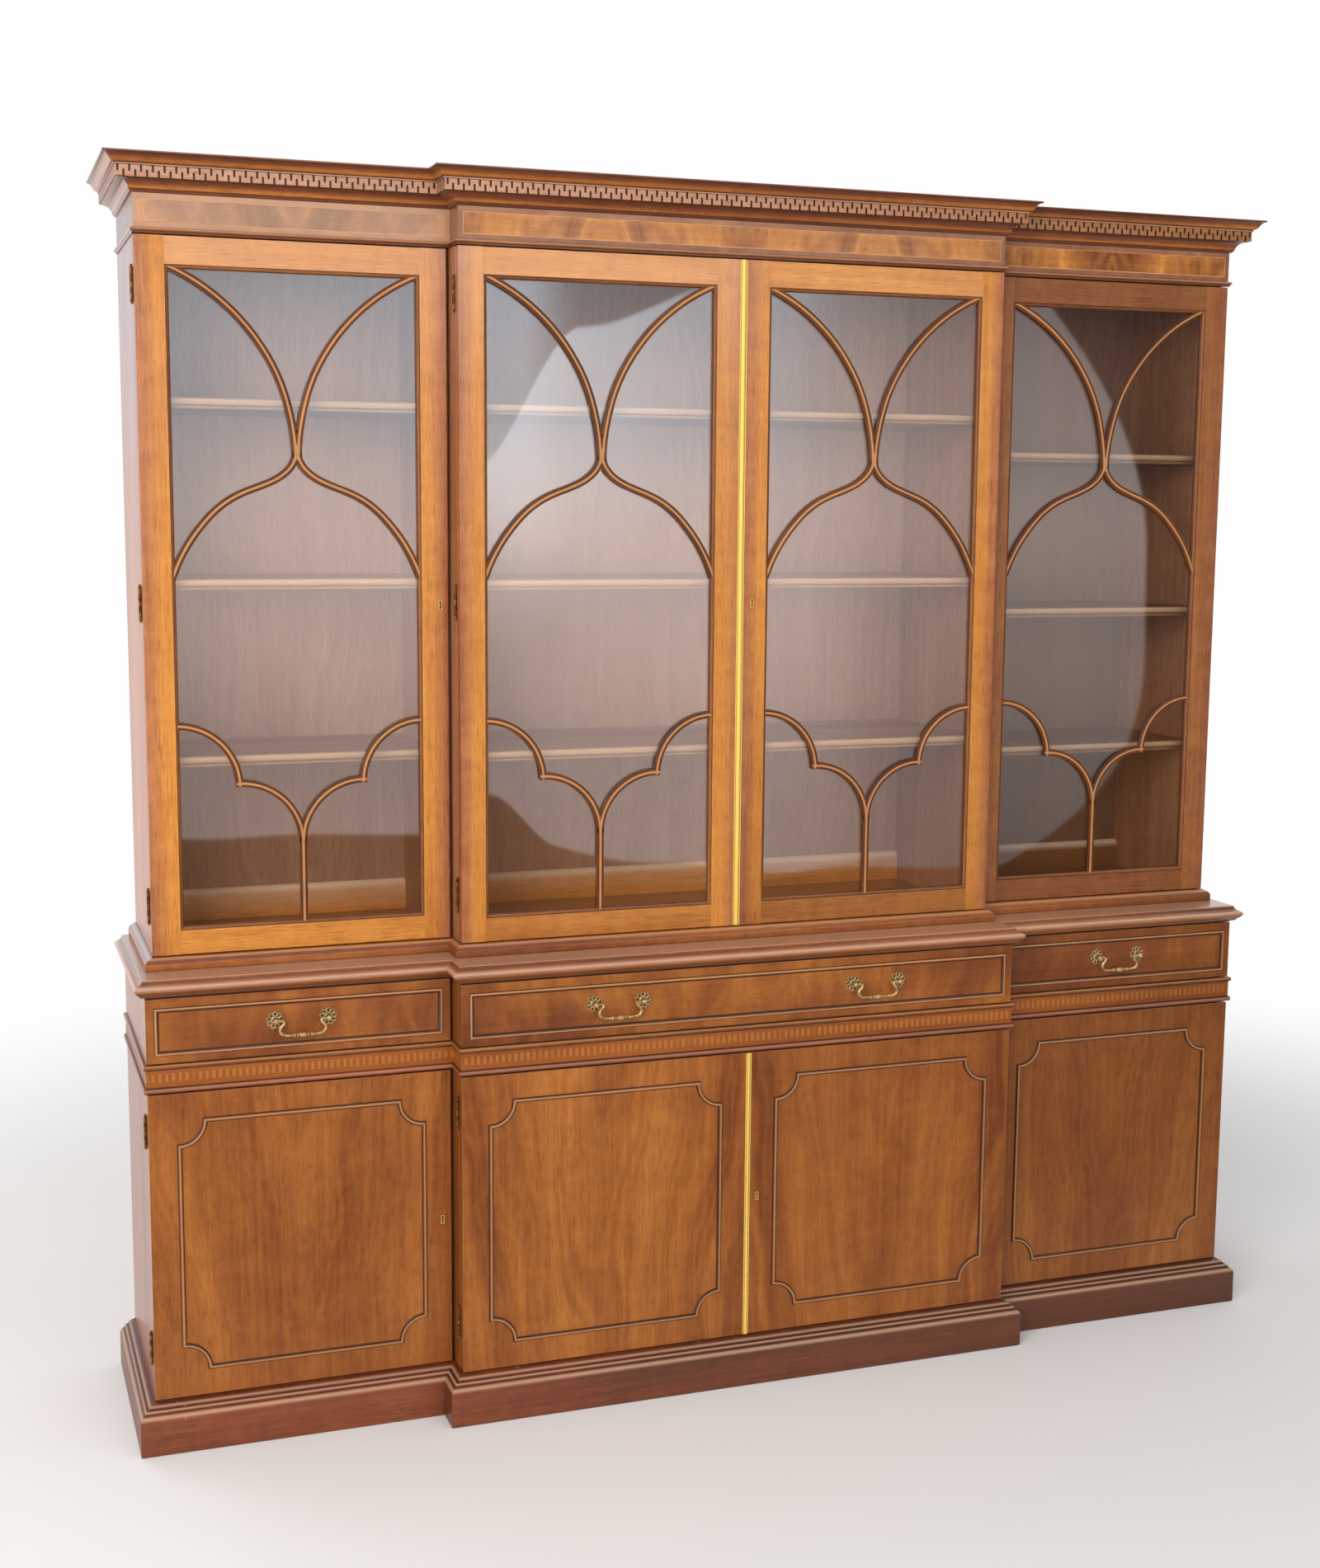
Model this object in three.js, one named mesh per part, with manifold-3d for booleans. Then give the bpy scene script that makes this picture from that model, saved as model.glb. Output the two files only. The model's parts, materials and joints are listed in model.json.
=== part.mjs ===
// Breakfront bookcase in dark-edged mahogany: two wings and a projecting centre,
// glazed doors over drawers over cupboard doors, on a plinth.
// Millimetres, +Z up, front towards -Y, X across. Origin: middle of the footprint, on the floor.
import * as THREE from "three";
import { mergeVertices } from "three/addons/utils/BufferGeometryUtils.js";
import Module from "manifold-3d";

const wasm = await Module();
wasm.setup();

// ---------------------------------------------------------------- driving dimensions
const HEIGHT = 2000; // floor to top of the cornice
const Y_BACK = 214; // wall side of the whole piece
const STEP = 52; // the centre stands this far in front of the wings

// lower case (drawers and cupboards)
const LOW = { xs: 983, xc: 496, yw: -136, yc: -136 - STEP };
// upper case (glazed doors)
const UPP = { xs: 963, xc: 478, yw: -70, yc: -70 - STEP };

const DOOR_T = 20; // door and drawer front thickness
const CARCASS_GAP = 0.5; // play between a closed door and the case behind it

const Z_PLINTH = 80; // top of the plinth moulding
const Z_LOW_DOOR = [81, 577.5];
const Z_WAIST = [580, 626]; // moulded band between cupboards and drawers
const Z_DRAWER = [627, 729.5];
const Z_COUNTER = [731, 761];
const Z_SURBASE = [761, 782]; // base moulding of the upper case
const Z_UPP_DOOR = [783, 1885.5];
const Z_FRIEZE = [1887, 1946];
const Z_CORNICE = [1946, HEIGHT];

const LOW_SIDE_T = 18;
const UPP_SIDE_T = 16;
const UPRIGHT_T = 18; // thickness of the front part of an inner upright
const STOP_W = [20, 22]; // extra width behind the wing doors, lower and upper
const BACK_T = 8;

// glazed doors
const OPEN_W = 391; // sight opening of the frame
const OPEN_Z = [821.5, 1843.5];
const REBATE = 6;
const ASTRAGAL_W = 11;
const GLAZING_BEAD_W = 6;
const STRIP_HALF = [4.8, 6.2]; // half width of the brass meeting strips, lower and upper

// drawer handles
const HANDLE_PITCH = 84; // between post centres
const HANDLE_Z = 683;
const WING_HANDLE_X = 742;
const CENTRE_HANDLE_X = 232;
const POST_OUT = 12; // bail pivot in front of the drawer face
const BAIL_R = 1.8;

// shelf heights (middle of the front edge)
const SHELF_T = 17;
const SHELF_Z = [1083.5, 1361.5, 1640];
const SHELF_Z_RIGHT = [1052, 1301.5, 1578.5];

// ---------------------------------------------------------------- materials
const wood = (hex, rough = 0.42) =>
  new THREE.MeshStandardMaterial({ color: hex, roughness: rough, metalness: 0 });
const M = {
  stile: () => wood(0xb0692f),
  dark: () => wood(0x7c4127),
  mould: () => wood(0x8a4d2c),
  veneer: () => wood(0x9a5a2e),
  inside: () => wood(0x8f6450, 0.6),
  box: () => wood(0xc09a6c, 0.65),
  brass: () =>
    new THREE.MeshStandardMaterial({ color: 0xd9a93a, roughness: 0.28, metalness: 1 }),
  antique: () =>
    new THREE.MeshStandardMaterial({ color: 0xa88f5e, roughness: 0.35, metalness: 1 }),
  glass: () =>
    new THREE.MeshStandardMaterial({
      color: 0xd5dcdc,
      roughness: 0.05,
      metalness: 0,
      transparent: true,
      opacity: 0.3,
    }),
};

// ---------------------------------------------------------------- solids
function solid(geometry) {
  const g = geometry.index ? geometry.toNonIndexed() : geometry.clone();
  for (const name of Object.keys(g.attributes))
    if (name !== "position") g.deleteAttribute(name);
  const m = mergeVertices(g, 1e-3);
  return new wasm.Manifold(
    new wasm.Mesh({
      numProp: 3,
      vertProperties: m.attributes.position.array,
      triVerts: new Uint32Array(m.index.array),
    }),
  );
}
function geometryOf(manifold) {
  const m = manifold.getMesh();
  const v = new Float32Array(m.numVert * 3);
  for (let i = 0; i < m.numVert; i++)
    v.set(m.vertProperties.subarray(i * m.numProp, i * m.numProp + 3), i * 3);
  const g = new THREE.BufferGeometry();
  g.setAttribute("position", new THREE.BufferAttribute(v, 3));
  g.setIndex(new THREE.BufferAttribute(new Uint32Array(m.triVerts), 1));
  const flat = g.toNonIndexed();
  flat.computeVertexNormals();
  return flat;
}
const union = (parts) => parts.reduce((a, b) => a.add(b));

function mesh(name, shape, material, parent, at = [0, 0, 0]) {
  const geometry = shape.isBufferGeometry ? shape : geometryOf(shape);
  const m = new THREE.Mesh(geometry, material);
  m.name = name;
  m.position.set(at[0], at[1], at[2]);
  parent.add(m);
  return m;
}

function box(x0, x1, y0, y1, z0, z1) {
  return new THREE.BoxGeometry(x1 - x0, y1 - y0, z1 - z0).translate(
    (x0 + x1) / 2,
    (y0 + y1) / 2,
    (z0 + z1) / 2,
  );
}
const boxSolid = (...a) => solid(box(...a));

function shapeOf(points, holes = []) {
  const s = new THREE.Shape(points.map(([x, y]) => new THREE.Vector2(x, y)));
  for (const h of holes)
    s.holes.push(new THREE.Path(h.map(([x, y]) => new THREE.Vector2(x, y))));
  return s;
}
// plan outline in X and Y, extruded upwards
function plan(points, z0, z1) {
  return new THREE.ExtrudeGeometry(shapeOf(points), {
    depth: z1 - z0,
    bevelEnabled: false,
  }).translate(0, 0, z0);
}
// front outline in X and Z, extruded along Y from y0 to y1
function front(points, y0, y1, holes = []) {
  return new THREE.ExtrudeGeometry(shapeOf(points, holes), {
    depth: y1 - y0,
    bevelEnabled: false,
  })
    .rotateX(Math.PI / 2)
    .translate(0, y1, 0);
}
// side outline in Y and Z, extruded along X from x0 to x1
function sideways(points, x0, x1) {
  return new THREE.ExtrudeGeometry(shapeOf(points), {
    depth: x1 - x0,
    bevelEnabled: false,
  })
    .rotateX(Math.PI / 2)
    .rotateZ(Math.PI / 2)
    .translate(x0, 0, 0);
}

// breakfront plan outline, p outside the case named by c, straight at the back
function outline(c, p, back = Y_BACK) {
  return [
    [-c.xs - p, back],
    [-c.xs - p, c.yw - p],
    [-c.xc - p, c.yw - p],
    [-c.xc - p, c.yc - p],
    [c.xc + p, c.yc - p],
    [c.xc + p, c.yw - p],
    [c.xs + p, c.yw - p],
    [c.xs + p, back],
  ];
}
// a board moulded on its front and sides: profile is a list of [p, z] from bottom to top
function mouldedBoard(c, profile) {
  const rings = profile.map(([p, z]) => outline(c, p).map(([x, y]) => [x, y, z]));
  const n = rings[0].length;
  const tri = [];
  for (let k = 0; k + 1 < rings.length; k++)
    for (let i = 0; i < n; i++) {
      const j = (i + 1) % n;
      const a = rings[k][i],
        b = rings[k][j],
        d = rings[k + 1][i],
        e = rings[k + 1][j];
      tri.push(a, b, e, a, e, d);
    }
  const cap = (ring, up) => {
    const flat = ring.map(([x, y]) => new THREE.Vector2(x, y));
    for (const [a, b, c3] of THREE.ShapeUtils.triangulateShape(flat, []))
      up
        ? tri.push(ring[a], ring[b], ring[c3])
        : tri.push(ring[a], ring[c3], ring[b]);
  };
  cap(rings[0], false);
  cap(rings[rings.length - 1], true);
  const g = new THREE.BufferGeometry();
  g.setAttribute(
    "position",
    new THREE.BufferAttribute(new Float32Array(tri.flat()), 3),
  );
  return solid(g);
}
const mouldedRing = (c, profile, inner, back = Y_BACK - 20) =>
  mouldedBoard(c, profile).subtract(
    solid(
      plan(outline(c, inner, back), profile[0][1] - 5, profile.at(-1)[1] + 5),
    ),
  );

// a flat bar of width w along a path in the X Z plane
function bar(path, w, y0, y1) {
  const left = [],
    right = [];
  for (let i = 0; i < path.length; i++) {
    const a = path[Math.max(i - 1, 0)],
      b = path[Math.min(i + 1, path.length - 1)];
    const dx = b[0] - a[0],
      dz = b[1] - a[1],
      l = Math.hypot(dx, dz);
    const nx = (-dz / l) * (w / 2),
      nz = (dx / l) * (w / 2);
    left.push([path[i][0] + nx, path[i][1] + nz]);
    right.push([path[i][0] - nx, path[i][1] - nz]);
  }
  return solid(front([...right, ...left.reverse()], y0, y1));
}
const arc = (cx, cz, r, a0, a1, n) =>
  Array.from({ length: n + 1 }, (_, i) => {
    const a = ((a0 + ((a1 - a0) * i) / n) * Math.PI) / 180;
    return [cx + r * Math.cos(a), cz + r * Math.sin(a)];
  });
const rect = (x0, x1, z0, z1) => [
  [x0, z0],
  [x1, z0],
  [x1, z1],
  [x0, z1],
];
const rectHole = (x0, x1, z0, z1) => rect(x0, x1, z0, z1).reverse();

// ---------------------------------------------------------------- the object
const bookcase = new THREE.Group();
bookcase.name = "breakfront_bookcase";
const lower = new THREE.Group();
lower.name = "lower_case";
const upper = new THREE.Group();
upper.name = "upper_case";
bookcase.add(lower, upper);

// ---- plinth: hollow frame, moulded at the top, open below
{
  const body = mouldedBoard(LOW, [
    [26, 0],
    [26, 58],
    [24.5, 61.5],
    [22, 64.5],
    [18.5, 66],
    [17.5, 69.5],
    [14.5, 71.3],
    [12, 71.8],
    [10.5, 74.6],
    [7, 76.4],
    [2, 77.4],
    [0, Z_PLINTH],
  ]);
  const void1 = solid(plan(outline(LOW, 4, Y_BACK - 20), -5, 55));
  const void2 = solid(plan(outline(LOW, -18, Y_BACK - 20), 50, Z_PLINTH + 5));
  const ring = body.subtract(void1).subtract(void2);
  // the projecting centre is a piece of its own, butted against the wings' front face
  const joint = LOW.yw - 26;
  const w = LOW.xc + 60;
  mesh(
    "plinth",
    ring.subtract(boxSolid(-w, w, LOW.yc - 60, joint, -5, Z_PLINTH + 5)),
    M.dark(),
    lower,
  );
  mesh(
    "plinth_centre",
    ring.intersect(boxSolid(-w, w, LOW.yc - 60, joint - 0.3, -5, Z_PLINTH + 5)),
    M.dark(),
    lower,
  );
}

// ---- lower case
const caseFront = (c) => ({
  yw: c.yw + DOOR_T + CARCASS_GAP,
  yc: c.yc + DOOR_T + CARCASS_GAP,
});
const LF = caseFront(LOW),
  UF = caseFront(UPP);
const BACK_FRONT = Y_BACK - 1 - BACK_T; // front face of the back panels

const lowIn = LOW.xs - LOW_SIDE_T; // inner face of an outer side
const lowStop = LOW.xc + STOP_W[0];
const lowCentreIn = LOW.xc - UPRIGHT_T;

mesh(
  "base_floor",
  plan(
    [
      [-lowIn, BACK_FRONT - 0.3],
      [-lowIn, LF.yw],
      [-LOW.xc, LF.yw],
      [-LOW.xc, LF.yc],
      [LOW.xc, LF.yc],
      [LOW.xc, LF.yw],
      [lowIn, LF.yw],
      [lowIn, BACK_FRONT - 0.3],
    ],
    Z_PLINTH,
    98,
  ),
  M.inside(),
  lower,
);

const RUNNER = { w: 14, z0: 614, z1: 631 };
for (const s of [-1, 1]) {
  const tag = s < 0 ? "left" : "right";
  const span = (a, b) => (s < 0 ? [-b, -a] : [a, b]);
  const side = union([
    boxSolid(...span(lowIn, LOW.xs), LF.yw, Y_BACK, Z_PLINTH, Z_COUNTER[0]),
    boxSolid(...span(lowIn - RUNNER.w, lowIn), LF.yw + 2, BACK_FRONT - 6, RUNNER.z0, RUNNER.z1),
  ]);
  mesh("base_side_" + tag, side, M.stile(), lower);
  const upright = union([
    solid(
      plan(
        [
          [s * lowCentreIn, BACK_FRONT - 0.3],
          [s * lowCentreIn, LF.yc],
          [s * LOW.xc, LF.yc],
          [s * LOW.xc, LF.yw],
          [s * lowStop, LF.yw],
          [s * lowStop, BACK_FRONT - 0.3],
        ],
        98,
        Z_COUNTER[0],
      ),
    ),
    boxSolid(...span(lowStop, lowStop + RUNNER.w), LF.yw + 2, BACK_FRONT - 6, RUNNER.z0, RUNNER.z1),
    boxSolid(...span(lowCentreIn - RUNNER.w, lowCentreIn), LF.yc + 2, BACK_FRONT - 6, RUNNER.z0, RUNNER.z1),
  ]);
  mesh("base_upright_" + tag, upright, M.inside(), lower);
}
mesh(
  "base_back",
  box(-lowIn + 0.3, lowIn - 0.3, BACK_FRONT, BACK_FRONT + BACK_T, Z_PLINTH, Z_COUNTER[0]),
  M.inside(),
  lower,
);
{
  const z0 = 326,
    z1 = 342,
    back = BACK_FRONT - 1;
  mesh("cupboard_shelf_left", box(-lowIn + 1, -lowStop - 1, LF.yw + 22, back, z0, z1), M.inside(), lower);
  mesh("cupboard_shelf_centre", box(-lowCentreIn + 1, lowCentreIn - 1, LF.yc + 22, back, z0, z1), M.inside(), lower);
  mesh("cupboard_shelf_right", box(lowStop + 1, lowIn - 1, LF.yw + 22, back, z0, z1), M.inside(), lower);
}

// waist band: mitred strip round the front and both sides
{
  const [z0, z1] = Z_WAIST;
  const outer = mouldedBoard(LOW, [
    [1.5, z0],
    [3.2, z0 + 1],
    [5, z0 + 3.6],
    [5, z0 + 7.2],
    [3, z0 + 9.4],
    [1.5, z0 + 10],
    [1.5, z1 - 9],
    [3, z1 - 8.2],
    [5, z1 - 6],
    [5, z1 - 2.6],
    [3.4, z1 - 0.6],
    [1.5, z1],
  ]);
  const g = 0.3;
  const inner = plan(
    [
      [-LOW.xs - g, Y_BACK + 5],
      [-LOW.xs - g, LF.yw - g],
      [-LOW.xc - g, LF.yw - g],
      [-LOW.xc - g, LF.yc - g],
      [LOW.xc + g, LF.yc - g],
      [LOW.xc + g, LF.yw - g],
      [LOW.xs + g, LF.yw - g],
      [LOW.xs + g, Y_BACK + 5],
    ],
    z0 - 5,
    z1 + 5,
  );
  mesh("waist_band", outer.subtract(solid(inner)), M.mould(), lower);
}

mesh(
  "countertop",
  mouldedBoard(LOW, [
    [5, Z_COUNTER[0]],
    [6, 734.6],
    [8.5, 737.6],
    [12.5, 740.6],
    [15.6, 744],
    [16.6, 747],
    [15.6, 750],
    [12, 752.4],
    [8, 753.6],
    [5.4, 755.2],
    [5, 758],
    [3.6, 760.4],
    [1.5, Z_COUNTER[1]],
  ]),
  M.mould(),
  lower,
);

// ---- lower doors: slab with an applied moulding whose corners scoop inwards
function scooped(x0, x1, z0, z1, r, n = 7) {
  return [
    ...arc(x0, z0, r, 90, 0, n),
    ...arc(x1, z0, r, 180, 90, n),
    ...arc(x1, z1, r, 270, 180, n),
    ...arc(x0, z1, r, 360, 270, n),
  ];
}
function lowerDoor(name, x0, x1, face, frameX, pivot) {
  const [z0, z1] = Z_LOW_DOOR;
  const [fx0, fx1] = frameX,
    fz0 = 126.5,
    fz1 = 531.5,
    w = 3.5,
    r = 40;
  const slab = boxSolid(x0, x1, face, face + DOOR_T, z0, z1);
  const ring = solid(
    front(
      scooped(fx0 - w, fx1 + w, fz0 - w, fz1 + w, r),
      face - 4,
      face + 1,
      [scooped(fx0 + w, fx1 - w, fz0 + w, fz1 - w, r).reverse()],
    ),
  );
  const hung = new THREE.Group();
  hung.name = name + "_hung";
  hung.position.set(pivot[0], pivot[1], 0);
  lower.add(hung);
  mesh(name, slab.add(ring), M.veneer(), hung, [-pivot[0], -pivot[1], 0]);
  return hung;
}
const KNUCKLE = 2.5; // hinge axis outside the side face
const lowPivotY = (face) => face + DOOR_T + CARCASS_GAP / 2;
lowerDoor("lower_door_left", -LOW.xs, -502, LOW.yw, [-936, -547], [
  -LOW.xs - KNUCKLE,
  lowPivotY(LOW.yw),
]);
const lowCentreLeft = lowerDoor(
  "lower_door_centre_left",
  -LOW.xc,
  STRIP_HALF[0] + 0.1,
  LOW.yc,
  [-448, -50.5],
  [-LOW.xc - KNUCKLE, lowPivotY(LOW.yc)],
);
lowerDoor("lower_door_centre_right", STRIP_HALF[0] + 0.6, LOW.xc, LOW.yc, [50.5, 448], [
  LOW.xc + KNUCKLE,
  lowPivotY(LOW.yc),
]);
lowerDoor("lower_door_right", 502, LOW.xs, LOW.yw, [547, 936], [
  LOW.xs + KNUCKLE,
  lowPivotY(LOW.yw),
]);

// brass meeting strip: rounded bar on the left door's meeting edge
function strip(half, face, z0, z1) {
  return plan(
    [
      [-half, face],
      [-half, face - 1.2],
      [-half * 0.72, face - 2.4],
      [half * 0.72, face - 2.4],
      [half, face - 1.2],
      [half, face],
    ],
    z0,
    z1,
  );
}
mesh(
  "lower_meeting_strip",
  strip(STRIP_HALF[0], LOW.yc, Z_LOW_DOOR[0] + 0.5, Z_LOW_DOOR[1] - 0.5),
  M.brass(),
  lowCentreLeft,
  [-lowCentreLeft.position.x, -lowCentreLeft.position.y, 0],
);

// ---- drawers
function rosette(x, face, inward) {
  // ten-lobed plate with a round post that carries the bail
  const lobes = [];
  for (let i = 0; i < 20; i++) {
    const a = (i * Math.PI) / 10;
    const r = i % 2 ? 10.2 : 14;
    lobes.push([x + r * Math.cos(a), HANDLE_Z + r * Math.sin(a)]);
  }
  const plate = solid(front(lobes, face - 1.6, face + 1));
  const post = solid(
    new THREE.CylinderGeometry(4.2, 4.2, POST_OUT + 4.2 + 1, 12).translate(
      x,
      face - (POST_OUT + 4.2 + 1) / 2 + 1,
      HANDLE_Z,
    ),
  );
  // blind hole for the end of the bail, on the side that faces the other post
  const hole = solid(
    new THREE.CylinderGeometry(2.2, 2.2, 6, 12)
      .rotateZ(Math.PI / 2)
      .translate(x + inward * (3 - 0.8), face - POST_OUT, HANDLE_Z),
  );
  return plate.add(post).subtract(hole);
}
function bail(x, face) {
  // swan-neck bail hanging between the two posts, with a turned middle
  const h = HANDLE_PITCH / 2 - 0.2; // the ends turn in the posts
  const half = [
    [h, 0],
    [31.5, 0],
    [29.2, -1.6],
    [29.8, -4.2],
    [33.2, -7.6],
    [36.2, -12],
    [35.8, -17],
    [31.6, -21.4],
    [25, -23.4],
    [15, -23.6],
  ];
  const pts = [
    ...half.map(([a, b]) => [-a, b]),
    ...half.slice().reverse(),
  ].map(([a, b]) => new THREE.Vector3(x + a, face - POST_OUT, HANDLE_Z + b));
  const path = new THREE.CurvePath();
  for (let i = 0; i + 1 < pts.length; i++)
    path.add(new THREE.LineCurve3(pts[i], pts[i + 1]));
  const curve = new THREE.CatmullRomCurve3(pts, false, "centripetal");
  const section = new THREE.Shape(
    Array.from({ length: 6 }, (_, i) => {
      const a = (i * Math.PI) / 3;
      return new THREE.Vector2(BAIL_R * Math.cos(a), BAIL_R * Math.sin(a));
    }),
  );
  const tube = solid(
    new THREE.ExtrudeGeometry(section, {
      steps: 30,
      bevelEnabled: false,
      extrudePath: curve,
    }),
  );
  const r = [
    [0, -14],
    [3.1, -14],
    [3.1, -11.6],
    [1.9, -11.2],
    [1.9, -9.4],
    [2.9, -9],
    [2.9, -7.2],
    [2, -6.8],
    [3.2, -3.6],
    [3.7, 0],
    [3.2, 3.6],
    [2, 6.8],
    [2.9, 7.2],
    [2.9, 9],
    [1.9, 9.4],
    [1.9, 11.2],
    [3.1, 11.6],
    [3.1, 14],
    [0, 14],
  ].map(([a, b]) => new THREE.Vector2(a, b));
  const turned = solid(
    new THREE.LatheGeometry(r, 8)
      .rotateZ(-Math.PI / 2)
      .translate(x, face - POST_OUT, HANDLE_Z - 23.6),
  );
  return tube.add(turned);
}
function drawer(tag, x0, x1, face, inX, boxBack, handles) {
  const slide = new THREE.Group();
  slide.name = "drawer_" + tag;
  slide.position.set((x0 + x1) / 2, face, 0);
  lower.add(slide);
  const home = [-slide.position.x, -face, 0];
  const [z0, z1] = Z_DRAWER;
  const cock = 14.5,
    cw = 5;
  const parts = [
    boxSolid(x0, x1, face, face + DOOR_T - 0.5, z0, z1),
    solid(
      front(
        rect(x0 + cock, x1 - cock, z0 + cock - 1, z1 - cock),
        face - 2.5,
        face + 1,
        [rectHole(x0 + cock + cw, x1 - cock - cw, z0 + cock - 1 + cw, z1 - cock - cw)],
      ),
    ),
  ];
  for (const h of handles)
    for (const s of [-1, 1])
      parts.push(rosette(h + (s * HANDLE_PITCH) / 2, face, -s));
  mesh("drawer_front_" + tag, union(parts), M.veneer(), slide, home);
  // open box behind the front
  const [a, b] = inX,
    y0 = face + DOOR_T - 0.3,
    bz0 = RUNNER.z1 + 1,
    bz1 = 716,
    t = 11;
  const tray = boxSolid(a, b, y0, boxBack, bz0, bz1).subtract(
    boxSolid(a + t, b - t, y0 + t, boxBack - t, bz0 + 8, bz1 + 5),
  );
  mesh("drawer_box_" + tag, tray, M.box(), slide, home);
  handles.forEach((h, i) => {
    const hang = new THREE.Group();
    hang.position.set(h - slide.position.x, -POST_OUT, HANDLE_Z);
    slide.add(hang);
    mesh(
      "bail_" + tag + (handles.length > 1 ? (i ? "_b" : "_a") : ""),
      bail(h, face),
      M.antique(),
      hang,
      [-h, -(face - POST_OUT), -HANDLE_Z],
    );
  });
}
drawer("left", -LOW.xs, -501.5, LOW.yw, [-lowIn + 2, -lowStop - 2], BACK_FRONT - 12, [-WING_HANDLE_X]);
drawer("centre", -LOW.xc, LOW.xc, LOW.yc, [-lowCentreIn + 2, lowCentreIn - 2], BACK_FRONT - 12, [
  -CENTRE_HANDLE_X,
  CENTRE_HANDLE_X,
]);
drawer("right", 501.5, LOW.xs, LOW.yw, [lowStop + 2, lowIn - 2], BACK_FRONT - 12, [WING_HANDLE_X]);

// ---- upper case
mesh(
  "upper_base_mould",
  mouldedBoard(UPP, [
    [12.5, Z_SURBASE[0]],
    [12.5, 771.5],
    [11.6, 774.6],
    [9.2, 777.4],
    [5.6, 779.8],
    [2, 781.3],
    [0, Z_SURBASE[1]],
  ]),
  M.mould(),
  upper,
);
const uppIn = UPP.xs - UPP_SIDE_T,
  uppStop = UPP.xc + STOP_W[1],
  uppCentreIn = UPP.xc - UPRIGHT_T;
for (const s of [-1, 1]) {
  const tag = s < 0 ? "left" : "right";
  const span = (a, b) => (s < 0 ? [-b, -a] : [a, b]);
  mesh(
    "upper_side_" + tag,
    box(...span(uppIn, UPP.xs), UF.yw, Y_BACK, Z_SURBASE[1], Z_FRIEZE[0]),
    M.stile(),
    upper,
  );
  mesh(
    "upper_upright_" + tag,
    plan(
      (s > 0 ? (q) => q : (q) => q.reverse())([
        [s * uppCentreIn, BACK_FRONT - 0.3],
        [s * uppCentreIn, UF.yc],
        [s * UPP.xc, UF.yc],
        [s * UPP.xc, UF.yw],
        [s * uppStop, UF.yw],
        [s * uppStop, BACK_FRONT - 0.3],
      ]),
      Z_SURBASE[1],
      Z_FRIEZE[0],
    ),
    M.inside(),
    upper,
  );
}
{
  // back panel with a bevelled bottom rail in each bay
  const z0 = Z_SURBASE[1],
    rail = (a, b) =>
      solid(
        sideways(
          [
            [BACK_FRONT + 1, z0],
            [BACK_FRONT + 1, 835],
            [BACK_FRONT - 2, 835],
            [BACK_FRONT - 9, 828],
            [BACK_FRONT - 12, 820],
            [BACK_FRONT - 12, z0],
          ],
          a,
          b,
        ),
      );
  mesh(
    "upper_back",
    union([
      boxSolid(-uppIn + 0.3, uppIn - 0.3, BACK_FRONT, BACK_FRONT + BACK_T, z0, Z_FRIEZE[0]),
      rail(-uppIn + 0.3, -uppStop - 0.3),
      rail(-uppCentreIn + 0.3, uppCentreIn - 0.3),
      rail(uppStop + 0.3, uppIn - 0.3),
    ]),
    M.inside(),
    upper,
  );
}
mesh(
  "upper_top",
  plan(outline(UPP, -20.3, Y_BACK - 20.3), Z_FRIEZE[0], Z_FRIEZE[0] + 18),
  M.inside(),
  upper,
);
mesh(
  "frieze",
  mouldedRing(
    UPP,
    [
      [2.6, Z_FRIEZE[0]],
      [4.6, 1888.8],
      [5.2, 1891.4],
      [4.2, 1894],
      [1.6, 1895.6],
      [0, 1896],
      [0, Z_FRIEZE[1]],
    ],
    -20,
  ),
  M.veneer(),
  upper,
);
mesh(
  "cornice",
  mouldedRing(
    UPP,
    [
      [2.4, Z_CORNICE[0]],
      [3.6, 1949],
      [6, 1949.6],
      [6.6, 1953],
      [8.6, 1957.4],
      [12.4, 1961.4],
      [18, 1964],
      [20, 1965],
      [26.5, 1965],
      [26.5, 1981],
      [28.6, 1981.6],
      [28.6, 1984],
      [32, 1985.4],
      [35.4, 1988.4],
      [37.4, 1992],
      [40, 1995],
      [43.6, 1996.6],
      [45, 1996.8],
      [45, 1999.4],
      [44, HEIGHT],
    ],
    -20,
  ),
  M.mould(),
  upper,
);

// ---- shelves
const shelfBack = BACK_FRONT - 1;
SHELF_Z.forEach((z, i) => {
  mesh("shelf_left_" + (i + 1), box(-uppIn + 1, -uppStop - 1, UF.yw + 10, shelfBack, z - SHELF_T / 2, z + SHELF_T / 2), M.inside(), upper);
  mesh("shelf_centre_" + (i + 1), box(-uppCentreIn + 1, uppCentreIn - 1, UF.yc + 10, shelfBack, z - 1.5 - SHELF_T / 2, z - 1.5 + SHELF_T / 2), M.inside(), upper);
});
SHELF_Z_RIGHT.forEach((z, i) => {
  mesh("shelf_right_" + (i + 1), box(uppStop + 1, uppIn - 1, UF.yw + 10, shelfBack, z - SHELF_T / 2, z + SHELF_T / 2), M.inside(), upper);
});

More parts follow.
